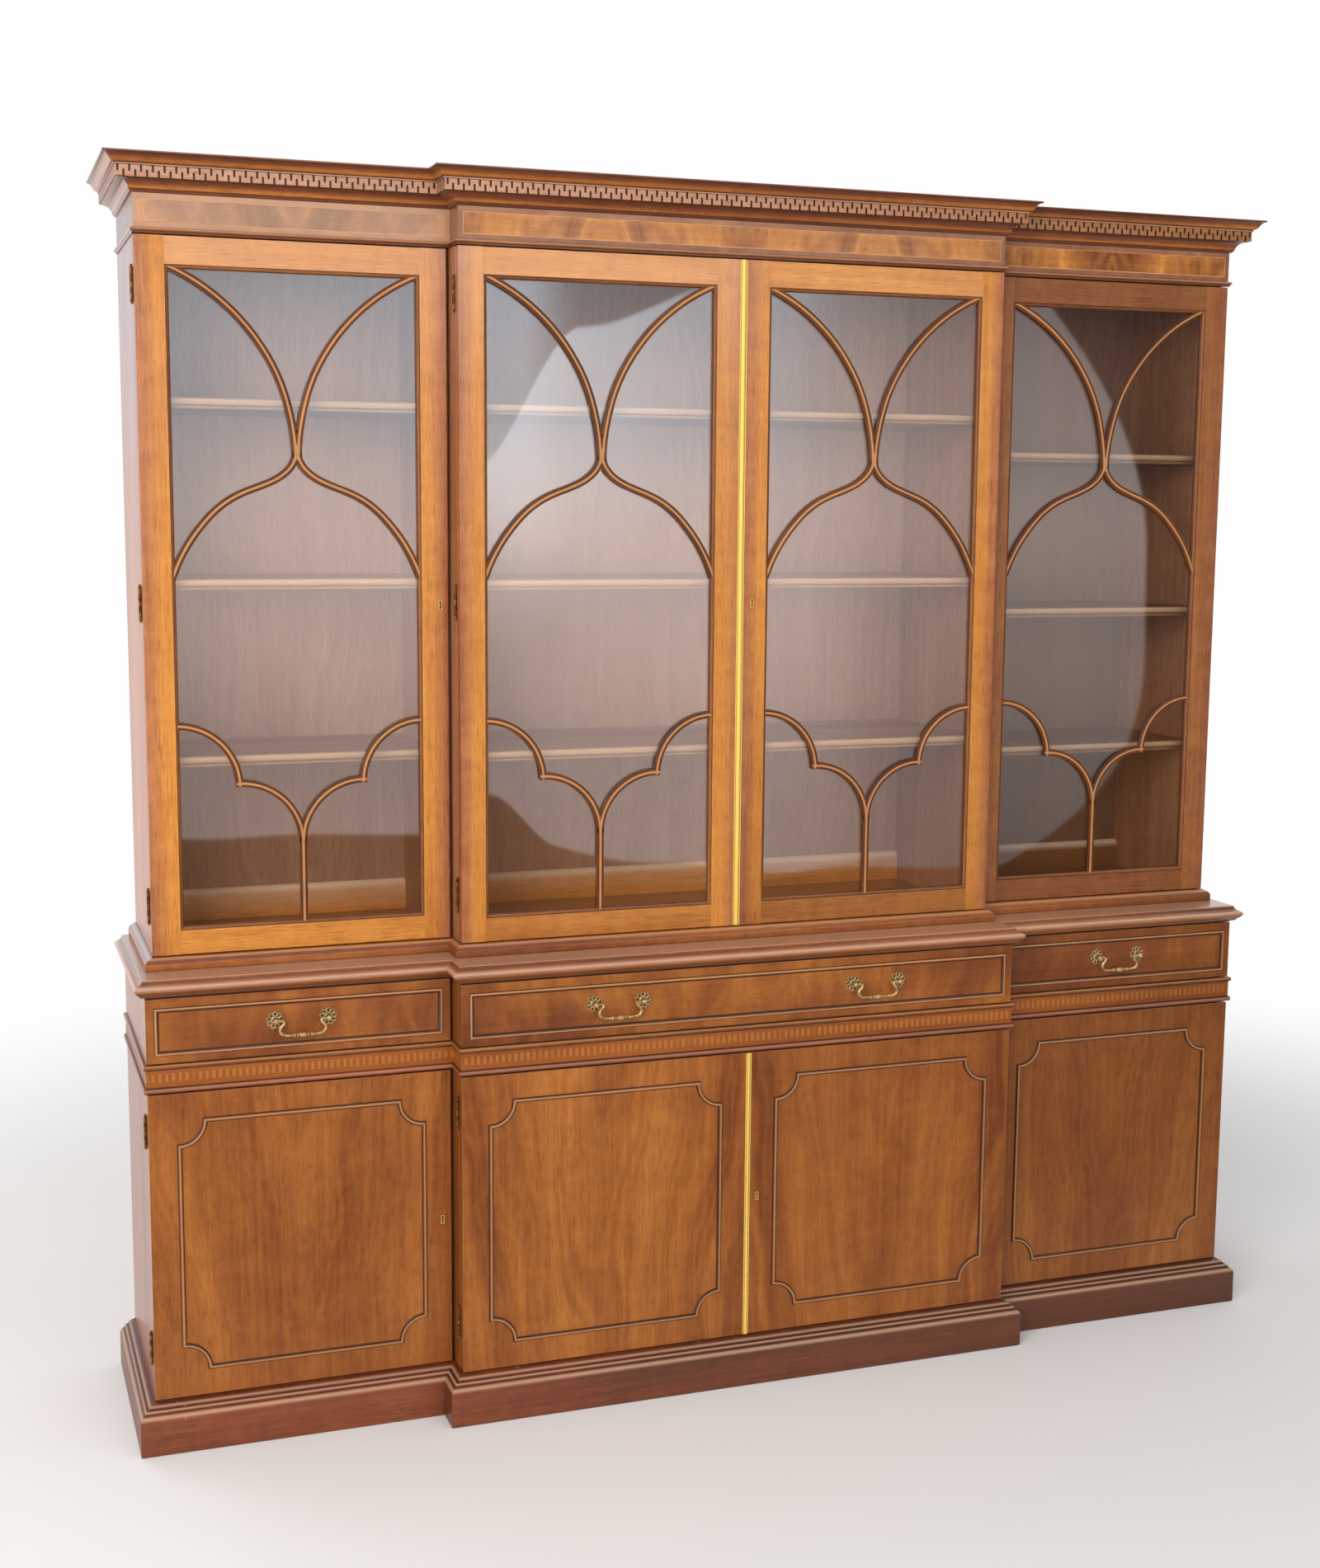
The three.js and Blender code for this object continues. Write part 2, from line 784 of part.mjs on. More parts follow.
// ---- glazed doors
function traceryPaths(xm) {
  const h = OPEN_W / 2;
  const [zb, zt] = OPEN_Z;
  const R = (h * h + (zt - 1555) ** 2) / (2 * h);
  const top = (Math.asin((zt - 1555) / R) * 180) / Math.PI;
  const ogee = new THREE.SplineCurve(
    [
      [0, 1575],
      [2.5, 1557],
      [12, 1541],
      [30, 1526.5],
      [55, 1515],
      [80, 1505.5],
      [104, 1493.5],
      [126, 1477],
      [146, 1456],
      [163, 1434],
      [175.5, 1414],
      [187, 1391],
      [h + 1, 1369],
    ].map(([x, z]) => new THREE.Vector2(x, z)),
  )
    .getPoints(16)
    .map((p) => [p.x, p.y]);
  const out = [];
  for (const s of [-1, 1]) {
    out.push(arc(-R, 1555, R, top, 0, 9).map(([x, z]) => [xm + s * x, z]));
    out.push(ogee.map(([x, z]) => [xm + s * x, z]));
    out.push(arc(h, 1046, 97.5, 90, 180, 7).map(([x, z]) => [xm + s * x, z]));
    out.push(
      [[103, 1050.5], ...arc(97.5, 953, 97.5, 90, 180, 8)].map(([x, z]) => [xm + s * x, z]),
    );
  }
  out.push([
    [xm, 962],
    [xm, zb - 1],
  ]);
  return out;
}
function glazedDoor(tag, x0, x1, xm, face, pivot) {
  const hung = new THREE.Group();
  hung.name = "upper_door_" + tag;
  hung.position.set(pivot[0], pivot[1], 0);
  upper.add(hung);
  const home = [-pivot[0], -pivot[1], 0];
  const [z0, z1] = Z_UPP_DOOR,
    [a, b] = OPEN_Z,
    h = OPEN_W / 2;
  const frame = solid(
    front(rect(x0, x1, z0, z1), face, face + 8, [rectHole(xm - h, xm + h, a, b)]),
  ).add(
    solid(
      front(rect(x0, x1, z0, z1), face + 8, face + DOOR_T, [
        rectHole(xm - h - REBATE, xm + h + REBATE, a - REBATE, b + REBATE),
      ]),
    ),
  );
  mesh("door_frame_" + tag, frame, M.stile(), hung, home);
  const g = 0.2,
    w = GLAZING_BEAD_W,
    y0 = face + 1.6,
    y1 = face + 7.7;
  const ring = solid(
    front(rect(xm - h + g, xm + h - g, a + g, b - g), y0, y1, [
      rectHole(xm - h + w, xm + h - w, a + w, b - w),
    ]),
  );
  const bars = union(traceryPaths(xm).map((p) => bar(p, ASTRAGAL_W, y0, y1))).intersect(
    boxSolid(xm - h + g, xm + h - g, face, face + 10, a + g, b - g),
  );
  mesh("tracery_" + tag, ring.add(bars), M.mould(), hung, home);
  mesh(
    "glass_" + tag,
    box(xm - h - REBATE + 1, xm + h + REBATE - 1, face + 8.2, face + 11.2, a - REBATE + 1, b + REBATE - 1),
    M.glass(),
    hung,
    home,
  );
  return hung;
}
glazedDoor("left", -UPP.xs, -484.5, -723, UPP.yw, [-UPP.xs - KNUCKLE, lowPivotY(UPP.yw)]);
const uppCentreLeft = glazedDoor(
  "centre_left",
  -UPP.xc,
  STRIP_HALF[1] + 0.1,
  -241.5,
  UPP.yc,
  [-UPP.xc - KNUCKLE, lowPivotY(UPP.yc)],
);
glazedDoor("centre_right", STRIP_HALF[1] + 0.6, UPP.xc, 241.5, UPP.yc, [
  UPP.xc + KNUCKLE,
  lowPivotY(UPP.yc),
]);
glazedDoor("right", 484.5, UPP.xs, 723, UPP.yw, [UPP.xs + KNUCKLE, lowPivotY(UPP.yw)]);
mesh(
  "upper_meeting_strip",
  strip(STRIP_HALF[1], UPP.yc, Z_UPP_DOOR[0] + 0.5, Z_UPP_DOOR[1] - 0.5),
  M.brass(),
  uppCentreLeft,
  [-uppCentreLeft.position.x, -uppCentreLeft.position.y, 0],
);

export default bookcase;
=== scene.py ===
import bpy
import bmesh
import json
import math
import numpy as np
from mathutils import Matrix, Vector

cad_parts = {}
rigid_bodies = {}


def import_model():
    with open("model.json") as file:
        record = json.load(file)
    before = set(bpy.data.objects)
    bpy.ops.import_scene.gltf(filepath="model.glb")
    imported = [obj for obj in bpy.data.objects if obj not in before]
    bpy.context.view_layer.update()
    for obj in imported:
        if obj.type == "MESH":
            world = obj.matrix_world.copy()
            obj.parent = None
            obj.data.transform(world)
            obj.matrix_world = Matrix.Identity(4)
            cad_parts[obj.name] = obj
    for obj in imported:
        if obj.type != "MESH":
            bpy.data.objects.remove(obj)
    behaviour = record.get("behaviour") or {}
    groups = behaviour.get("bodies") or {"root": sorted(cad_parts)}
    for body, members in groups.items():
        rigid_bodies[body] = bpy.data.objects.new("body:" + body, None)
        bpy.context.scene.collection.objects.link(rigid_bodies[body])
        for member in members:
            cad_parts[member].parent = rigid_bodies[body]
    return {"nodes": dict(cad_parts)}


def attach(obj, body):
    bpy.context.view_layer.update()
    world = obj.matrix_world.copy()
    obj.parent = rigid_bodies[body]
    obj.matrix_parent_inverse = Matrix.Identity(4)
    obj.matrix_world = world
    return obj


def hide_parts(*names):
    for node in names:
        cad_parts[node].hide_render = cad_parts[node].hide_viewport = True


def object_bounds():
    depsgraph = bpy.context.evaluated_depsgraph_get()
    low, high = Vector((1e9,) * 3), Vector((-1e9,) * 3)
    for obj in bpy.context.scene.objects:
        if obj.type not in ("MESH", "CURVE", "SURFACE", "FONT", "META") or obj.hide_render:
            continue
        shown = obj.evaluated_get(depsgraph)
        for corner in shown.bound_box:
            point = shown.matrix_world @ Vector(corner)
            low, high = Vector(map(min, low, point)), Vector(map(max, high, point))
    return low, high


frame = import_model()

CAD_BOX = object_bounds()
MM = 0.001
RNG = np.random.default_rng(20)

# ------------------------------------------------------------------ sizes, in millimetres (as in the CAD)
YB = 214.0
LOW = dict(xs=983.0, xc=496.0, yw=-136.0, yc=-188.0)
UPP = dict(xs=963.0, xc=478.0, yw=-70.0, yc=-122.0)
DOOR_T = 20.0
BACK_F = 205.0
LOW_IN, LOW_STOP, LOW_CIN = 965.0, 516.0, 478.0
UPP_IN, UPP_STOP, UPP_CIN = 947.0, 500.0, 460.0
OPEN_W = 391.0
OPEN_Z = (821.5, 1843.5)
REBATE = 6.0


# ------------------------------------------------------------------ mesh making
class Part:
    """Quads and polygons with a wood-grain coordinate and a tone at every face corner.

    Points are millimetres. Grain is metres: x along the fibres, y across them, z into the board.
    Tone below 0 darkens corners and recesses with painted shade and some dirt, and above 0 lightens edges with painted
    highlight and wear. Warm goes from red to golden timber. Painted shade darkens whole parts where less light falls."""

    def __init__(self):
        self.p, self.f, self.m, self.g, self.t, self.w, self.d = [], [], [], [], [], [], []
        self.n = 0
        self.island = 0
        self.warm = 0.5  # a number, or a function of the points
        # painted_shade: the part is drawn darker where less light falls on it
        self.painted_shade = 0.0  # how much darker it is, a number or a function of the points

    def _put(self, pts, isl):
        pts = np.asarray(pts, float).reshape(-1, 3)
        base = self.n
        self.p.append(np.hstack([pts, np.full((len(pts), 1), float(isl))]))
        self.n += len(pts)
        return base

    def new(self):
        self.island += 1
        return self.island

    def grid(self, P, G, T=0.0, mat=0, isl=None, cu=False, cv=False):
        """A sheet of quads over P[u, v]. cu and cv close it round."""
        P = np.asarray(P, float)
        nu, nv = P.shape[:2]
        if isl is None:
            isl = self.new()
        T = np.broadcast_to(np.asarray(T, float), (nu, nv))
        W = self.warm(P) if callable(self.warm) else np.full((nu, nv), self.warm)
        D = self.painted_shade(P) if callable(self.painted_shade) else np.full((nu, nv), self.painted_shade)
        base = self._put(P, isl)
        for i in range(nu if cu else nu - 1):
            for j in range(nv if cv else nv - 1):
                i2, j2 = (i + 1) % nu, (j + 1) % nv
                q = ((i, j), (i2, j), (i2, j2), (i, j2))
                self.f.append(tuple(base + a * nv + b for a, b in q))
                self.g.append([G[a][b] for a, b in q])
                self.t.append([T[a][b] for a, b in q])
                self.w.append([W[a][b] for a, b in q])
                self.d.append([D[a][b] for a, b in q])
                self.m.append(mat)
        return isl

    def face(self, pts, G, T=0.0, mat=0, isl=None):
        pts = np.asarray(pts, float)
        if isl is None:
            isl = self.new()
        base = self._put(pts, isl)
        T = np.broadcast_to(np.asarray(T, float), (len(pts),))
        self.f.append(tuple(range(base, base + len(pts))))
        W = self.warm(pts) if callable(self.warm) else np.full(len(pts), self.warm)
        D = self.painted_shade(pts) if callable(self.painted_shade) else np.full(len(pts), self.painted_shade)
        self.d.append(list(D))
        self.g.append(list(G))
        self.t.append(list(T))
        self.w.append(list(W))
        self.m.append(mat)
        return isl

    def build(self, name, mats, body, replaces=(), sharp=38.0):
        P = np.concatenate(self.p)
        key = np.round(P * np.array([2000.0, 2000.0, 2000.0, 1.0])).astype(np.int64)
        _, first, inv = np.unique(key, axis=0, return_index=True, return_inverse=True)
        inv = inv.reshape(-1)
        faces, grains, tones, ms = [], [], [], []
        for f, g, t, w, d, m in zip(self.f, self.g, self.t, self.w, self.d, self.m):
            idx, gg, tt = [], [], []
            for k, i in enumerate(f):
                j = int(inv[i])
                if idx and (j == idx[-1]):
                    continue
                idx.append(j)
                gg.append(g[k])
                tt.append((t[k], w[k], d[k]))
            if len(idx) > 1 and idx[0] == idx[-1]:
                idx.pop()
                gg.pop()
                tt.pop()
            if len(idx) < 3 or len(set(idx)) < len(idx):
                continue
            faces.append(idx)
            grains.extend(gg)
            tones.extend(tt)
            ms.append(m)
        me = bpy.data.meshes.new(name)
        me.from_pydata((P[first, :3] * MM).tolist(), [], faces)
        a = me.attributes.new("grain", "FLOAT_VECTOR", "CORNER")
        a.data.foreach_set("vector", np.asarray(grains, np.float32).ravel())
        b = me.attributes.new("painted_light_wear_warmth", "FLOAT_VECTOR", "CORNER")
        b.data.foreach_set("vector", np.asarray(tones, np.float32).ravel())
        me.polygons.foreach_set("material_index", np.asarray(ms, np.int32))
        bm = bmesh.new()
        bm.from_mesh(me)
        bmesh.ops.recalc_face_normals(bm, faces=bm.faces)
        loose = [v for v in bm.verts if not v.link_faces]
        if loose:
            bmesh.ops.delete(bm, geom=loose, context="VERTS")
        bm.to_mesh(me)
        bm.free()
        me.shade_smooth()
        me.set_sharp_from_angle(angle=math.radians(sharp))
        for m in mats:
            me.materials.append(m)
        ob = bpy.data.objects.new(name, me)
        bpy.context.scene.collection.objects.link(ob)
        mod = ob.modifiers.new("normals", "WEIGHTED_NORMAL")
        mod.keep_sharp = True
        mod.weight = 60
        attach(ob, body)
        if replaces:
            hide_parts(*replaces)
        return ob


AX = dict(x=np.array([1.0, 0, 0]), y=np.array([0, 1.0, 0]), z=np.array([0, 0, 1.0]))


def seed():
    return RNG.uniform(-2.0, 2.0, 3)


def frame_of(along, across="z", sd=None, origin=(0, 0, 0), flip=False):
    """A function from points to grain coordinates."""
    a = AX[along] if isinstance(along, str) else np.asarray(along, float)
    b = AX[across] if isinstance(across, str) else np.asarray(across, float)
    c = np.cross(a, b)
    if sd is None:
        sd = seed()
    o = np.asarray(origin, float)
    if flip:
        a = -a

    def g(P):
        Q = (np.asarray(P, float) - o) * MM
        return np.stack([Q @ a, Q @ b, Q @ c], -1) + sd

    return g


def default_frame(along, sd=None):
    return frame_of(along, {"x": "z", "y": "z", "z": "x"}[along], sd)


def rbox(part, lo, hi, r=0.8, along="x", mat=0, fr=None, wear=0.0, seg=2, sides=None, base=0.0):
    """A board with softened arrises. sides gives some sides another material and grain: {(axis, 0 or -1): (mat, frame)}."""
    lo, hi = np.asarray(lo, float), np.asarray(hi, float)
    lo, hi = np.minimum(lo, hi), np.maximum(lo, hi)
    size = hi - lo
    r = min(r, float(size.min()) * 0.48)
    if fr is None:
        fr = default_frame(along)
    steps = [0.0, 0.3, 1.0] if seg == 2 else [0.0, 1.0]
    lev = [
        np.concatenate([lo[k] + r * np.array(steps), (hi[k] - r * np.array(steps))[::-1]])
        for k in range(3)
    ]
    ilo, ihi = lo + r, hi - r
    isl = part.new()
    for k in range(3):
        a, b = (k + 1) % 3, (k + 2) % 3
        for side in (0, -1):
            U, W = np.meshgrid(lev[a], lev[b], indexing="ij")
            P = np.zeros(U.shape + (3,))
            P[..., a], P[..., b] = U, W
            P[..., k] = lev[k][side]
            C = np.clip(P, ilo, ihi)
            D = P - C
            L = np.linalg.norm(D, axis=-1, keepdims=True)
            Q = C + D / np.maximum(L, 1e-9) * r
            # how far the point is on a rounded edge
            e = (np.abs(D) > 1e-6).sum(-1) >= 2
            m2, fr2 = (sides or {}).get((k, side), (mat, fr))
            part.grid(Q, fr2(Q), np.where(e, wear, 0.0) + base, m2, isl)
    return isl


def rounded(poly, r, n=3):
    """Rounds the corners of a closed polygon. r is one radius or one for each corner."""
    poly = [np.asarray(p, float) for p in poly]
    rs = [r] * len(poly) if np.isscalar(r) else list(r)
    out = []
    for i, p in enumerate(poly):
        a, b = poly[i - 1], poly[(i + 1) % len(poly)]
        u, w = a - p, b - p
        lu, lw = np.linalg.norm(u), np.linalg.norm(w)
        rr = rs[i]
        if rr <= 0:
            out.append(p)
            continue
        u, w = u / lu, w / lw
        ang = math.acos(float(np.clip(u @ w, -1, 1)))
        t = min(rr / math.tan(ang / 2), lu * 0.45, lw * 0.45)
        rr = t * math.tan(ang / 2)
        bis = u + w
        bis = bis / np.linalg.norm(bis)
        c = p + bis * (rr / math.sin(ang / 2))
        s, e = p + u * t, p + w * t
        a0 = math.atan2(*(s - c)[::-1])
        a1 = math.atan2(*(e - c)[::-1])
        d = (a1 - a0 + math.pi) % (2 * math.pi) - math.pi
        for k in range(n + 1):
            q = a0 + d * k / n
            out.append(c + rr * np.array([math.cos(q), math.sin(q)]))
    return out


def prism(part, poly, axis, lo, hi, mat=0, fr=None, along=None, tone=None, stations=None):
    """A closed section drawn in the plane across axis, carried from lo to hi.
    poly holds (y, z) for axis x, (x, z) for axis y and (x, y) for axis z."""
    poly = np.asarray(poly, float)
    k = "xyz".index(axis)
    o = [i for i in range(3) if i != k]
    st = [lo, hi] if stations is None else stations
    P = np.zeros((len(st), len(poly), 3))
    for i, s in enumerate(st):
        P[i, :, o[0]], P[i, :, o[1]] = poly[:, 0], poly[:, 1]
        P[i, :, k] = s
    if fr is None:
        fr = default_frame(along or axis)
    T = np.zeros(P.shape[:2]) if tone is None else np.broadcast_to(np.asarray(tone), P.shape[:2])
    isl = part.grid(P, fr(P), T, mat, cv=True)
    for i in (0, -1):
        part.face(P[i], fr(P[i]), T[i], mat, isl)
    return isl


def path_frames(path, closed):
    """Offsets for a polyline in a plane: the mitre vector at every point."""
    path = np.asarray(path, float)
    n = len(path)
    out = []
    for i in range(n):
        a = path[(i - 1) % n] if closed or i else None
        b = path[(i + 1) % n] if closed or i < n - 1 else None
        d = []
        for q0, q1 in ((a, path[i]), (path[i], b)):
            if q0 is not None and q1 is not None:
                v = q1 - q0
                v = v / np.linalg.norm(v)
                d.append(np.array([-v[1], v[0]]))
        nrm = sum(d)
        nrm = nrm / np.linalg.norm(nrm)
        out.append(nrm / max(float(nrm @ d[0]), 0.3))
    return np.array(out)


def sweep_xz(part, path, profile, y0, closed=False, mat=0, sd=None, tone=None, caps=True, isl=None):
    """A moulding along a path in the X Z plane. profile holds (w, d): w to the left of the path, d back from y0."""
    path = np.asarray(path, float)
    off = path_frames(path, closed)
    prof = np.asarray(profile, float)
    n, k = len(path), len(prof)
    seg = np.linalg.norm(np.diff(path, axis=0), axis=1)
    s = np.concatenate([[0], np.cumsum(seg)])
    pl = np.concatenate([[0], np.cumsum(np.linalg.norm(np.diff(prof, axis=0), axis=1))])
    if sd is None:
        sd = seed()
    if closed:
        s = np.concatenate([s, [s[-1] + np.linalg.norm(path[0] - path[-1])]])
    idx = list(range(n)) + ([0] if closed else [])
    P = np.zeros((len(idx), k, 3))
    G = np.zeros((len(idx), k, 3))
    for a, i in enumerate(idx):
        P[a, :, 0] = path[i, 0] + off[i, 0] * prof[:, 0]
        P[a, :, 2] = path[i, 1] + off[i, 1] * prof[:, 0]
        P[a, :, 1] = y0 + prof[:, 1]
        G[a, :, 0] = s[a] * MM
        G[a, :, 1] = pl * MM
    G += sd
    T = np.zeros((len(idx), k)) + (0.0 if tone is None else np.asarray(tone, float)[None, :])
    isl = part.grid(P, G, T, mat, isl, cv=True)
    if not closed and caps:
        for a in (0, -1):
            part.face(P[a], G[a], T[a], mat, isl)
    return isl


def rect_sweep(part, rect, profile, y0, mat=0, tone=None):
    """A mitred moulding round a rectangle (x0, x1, z0, z1). profile holds (t, d): t inwards, d back from y0.
    Each of the four lengths has a grain of its own."""
    x0, x1, z0, z1 = rect
    prof = np.asarray(profile, float)
    pl = np.concatenate([[0], np.cumsum(np.linalg.norm(np.diff(prof, axis=0), axis=1))])
    isl = part.new()
    T = np.zeros((2, len(prof))) + (0.0 if tone is None else np.asarray(tone, float)[None, :])

    def corner(t, k):
        return [(x0 + t, z0 + t), (x1 - t, z0 + t), (x1 - t, z1 - t), (x0 + t, z1 - t)][k]

    for k in range(4):
        P = np.zeros((2, len(prof), 3))
        for j, (t, d) in enumerate(prof):
            for e in (0, 1):
                x, z = corner(t, (k + e) % 4)
                P[e, j] = (x, y0 + d, z)
        ax = 0 if k in (0, 2) else 2
        G = np.zeros(P.shape)
        G[..., 0] = P[..., ax] * MM
        G[..., 1] = pl[None, :] * MM
        G += seed()
        part.grid(P, G, T, mat, isl, cv=True)
    return isl


def outline(c, p, back):
    return np.array(
        [
            (-c["xs"] - p, back),
            (-c["xs"] - p, c["yw"] - p),
            (-c["xc"] - p, c["yw"] - p),
            (-c["xc"] - p, c["yc"] - p),
            (c["xc"] + p, c["yc"] - p),
            (c["xc"] + p, c["yw"] - p),
            (c["xs"] + p, c["yw"] - p),
            (c["xs"] + p, back),
        ]
    )


def cornice_sweep(
    part, c, outer, inner, mats=None, tones=None, back=YB, inner_back=YB - 20.0, exact=()
):
    """A mitred moulding round the front and sides, closed along the back.
    outer and inner hold (p, z), outer from bottom to top, inner from top to bottom. mats gives a material index for
    each stretch of the outer profile; in the materials of exact, grain is the run along the moulding and the height."""
    outer = [tuple(q) for q in outer]
    loop = [(p, z, back) for p, z in outer] + [(p, z, inner_back) for p, z in inner]
    n, no = len(loop), len(outer)
    rings = [outline(c, p, b) for p, z, b in loop]
    zs = [z for _, z, _ in loop]
    pl = np.concatenate(
        [[0], np.cumsum([math.dist(loop[i][:2], loop[i + 1][:2]) for i in range(n - 1)])]
    )
    tn = np.zeros(n)
    if tones is not None:
        tn[:no] = tones
    isl = part.new()
    corners = len(rings[0])
    sds = [seed() for _ in range(corners)]
    flush = abs(inner_back - back) < 1e-6
    if flush:
        # it stops at the back instead of running along it
        for j in (0, corners - 1):
            P = np.array([(*rings[i][j], zs[i]) for i in range(n)])
            part.face(P, np.column_stack([P[:, 0] * MM, P[:, 2] * MM, P[:, 1] * 0]) + sds[j], -0.2, mats[-1] if mats is not None else 0, isl)
    for j in range(corners - 1 if flush else corners):
        k = (j + 1) % corners
        d = rings[0][k] - rings[0][j]
        ax = 0 if abs(d[0]) > abs(d[1]) else 1
        for i in range(n):
            i2 = (i + 1) % n
            P = np.array(
                [
                    (*rings[i][j], zs[i]),
                    (*rings[i][k], zs[i]),
                    (*rings[i2][k], zs[i2]),
                    (*rings[i2][j], zs[i2]),
                ]
            )
            G = np.zeros((4, 3))
            G[:, 0] = P[:, ax] * MM
            wide = i >= no - 1 or i2 == 0
            if wide:
                G[:, 1] = P[:, 1 - ax] * MM + P[:, 2] * MM
            else:
                G[:2, 1], G[2:, 1] = pl[i] * MM, pl[i2] * MM
            G += sds[j]
            m = mats[i] if mats is not None and i < no - 1 else (mats[-1] if mats is not None else 0)
            if m in exact:
                G[:, 0], G[:, 1], G[:, 2] = P[:, ax] * MM, P[:, 2] * MM, 0.37 * j
            part.face(P, G, [tn[i], tn[i], tn[i2], tn[i2]], m, isl)
    return isl


def tube(part, pts, radii, n=12, mat=0, sd=None, caps=True, tone=0.0, squash=None):
    """A round bar along points in space, with a radius at each."""
    pts = np.asarray(pts, float)
    radii = np.broadcast_to(np.asarray(radii, float), (len(pts),))
    tang = np.gradient(pts, axis=0)
    ring = np.allclose(pts[0], pts[-1])
    if ring:
        tang[0] = tang[-1] = pts[1] - pts[-2]
    tang /= np.linalg.norm(tang, axis=1, keepdims=True)
    ref = np.array([0.0, 1.0, 0.0])
    if abs(tang[0] @ ref) > 0.9:
        ref = np.array([1.0, 0.0, 0.0])
    u = np.cross(tang[0], ref)
    u /= np.linalg.norm(u)
    P = np.zeros((len(pts), n, 3))
    G = np.zeros((len(pts), n, 3))
    s = 0.0
    for i in range(len(pts)):
        u = u - tang[i] * (u @ tang[i])
        u /= np.linalg.norm(u)
        w = np.cross(tang[i], u)
        if i:
            s += float(np.linalg.norm(pts[i] - pts[i - 1]))
        for j in range(n):
            a = 2 * math.pi * j / n
            P[i, j] = pts[i] + radii[i] * (math.cos(a) * u + math.sin(a) * w)
            G[i, j] = (s * MM, j * radii[i] * 6.28 / n * MM, 0)
    if ring:
        P[-1] = P[0]
    G += seed() if sd is None else sd
    isl = part.grid(P, G, tone, mat, cv=True)
    if caps:
        for i in (0, -1):
            part.face(P[i], G[i], tone, mat, isl)
    return isl


def lathe(part, prof, origin, axis, n=24, mat=0, tone=None):
    """A turned solid: prof holds (radius, distance along axis)."""
    a = np.asarray(axis, float)
    a = a / np.linalg.norm(a)
    ref = np.array([0, 0, 1.0]) if abs(a[2]) < 0.9 else np.array([1.0, 0, 0])
    u = np.cross(a, ref)
    u /= np.linalg.norm(u)
    w = np.cross(a, u)
    o = np.asarray(origin, float)
    P = np.zeros((len(prof), n, 3))
    G = np.zeros(P.shape)
    for i, (r, h) in enumerate(prof):
        for j in range(n):
            t = 2 * math.pi * j / n
            P[i, j] = o + a * h + max(r, 1e-4) * (math.cos(t) * u + math.sin(t) * w)
            G[i, j] = (h * MM, r * t * MM, 0)
    T = np.zeros(P.shape[:2]) + (0.0 if tone is None else np.asarray(tone, float)[:, None])
    isl = part.grid(P, G + seed(), T, mat, cv=True)
    for i in (0, -1):
        if prof[i][0] > 1e-3:
            part.face(P[i], G[i], T[i], mat, isl)
    return isl


def arc(cx, cz, r, a0, a1, n):
    t = np.radians(np.linspace(a0, a1, n + 1))
    return np.stack([cx + r * np.cos(t), cz + r * np.sin(t)], -1)


def spline(pts, n):
    """A smooth curve through points (centripetal)."""
    pts = [np.asarray(p, float) for p in pts]
    pts = [2 * pts[0] - pts[1]] + pts + [2 * pts[-1] - pts[-2]]
    out = []
    for i in range(1, len(pts) - 2):
        p0, p1, p2, p3 = pts[i - 1 : i + 3]
        t0 = 0.0
        t1 = t0 + np.linalg.norm(p1 - p0) ** 0.5
        t2 = t1 + np.linalg.norm(p2 - p1) ** 0.5
        t3 = t2 + np.linalg.norm(p3 - p2) ** 0.5
        for t in np.linspace(t1, t2, n, endpoint=False):
            a1 = (t1 - t) / (t1 - t0) * p0 + (t - t0) / (t1 - t0) * p1
            a2 = (t2 - t) / (t2 - t1) * p1 + (t - t1) / (t2 - t1) * p2
            a3 = (t3 - t) / (t3 - t2) * p2 + (t - t2) / (t3 - t2) * p3
            b1 = (t2 - t) / (t2 - t0) * a1 + (t - t0) / (t2 - t0) * a2
            b2 = (t3 - t) / (t3 - t1) * a2 + (t - t1) / (t3 - t1) * a3
            out.append((t2 - t) / (t2 - t1) * b1 + (t - t1) / (t2 - t1) * b2)
    out.append(pts[-2])
    return np.array(out)


# ------------------------------------------------------------------ materials
def C(r, g, b, k=1.0):
    """A paint colour from 0..255 screen values, divided by k, as linear RGBA."""
    out = []
    for v in (r, g, b):
        v = v / 255.0
        v = v / 12.92 if v <= 0.04045 else ((v + 0.055) / 1.055) ** 2.4
        out.append(min(v / k, 0.95))
    return (*out, 1.0)


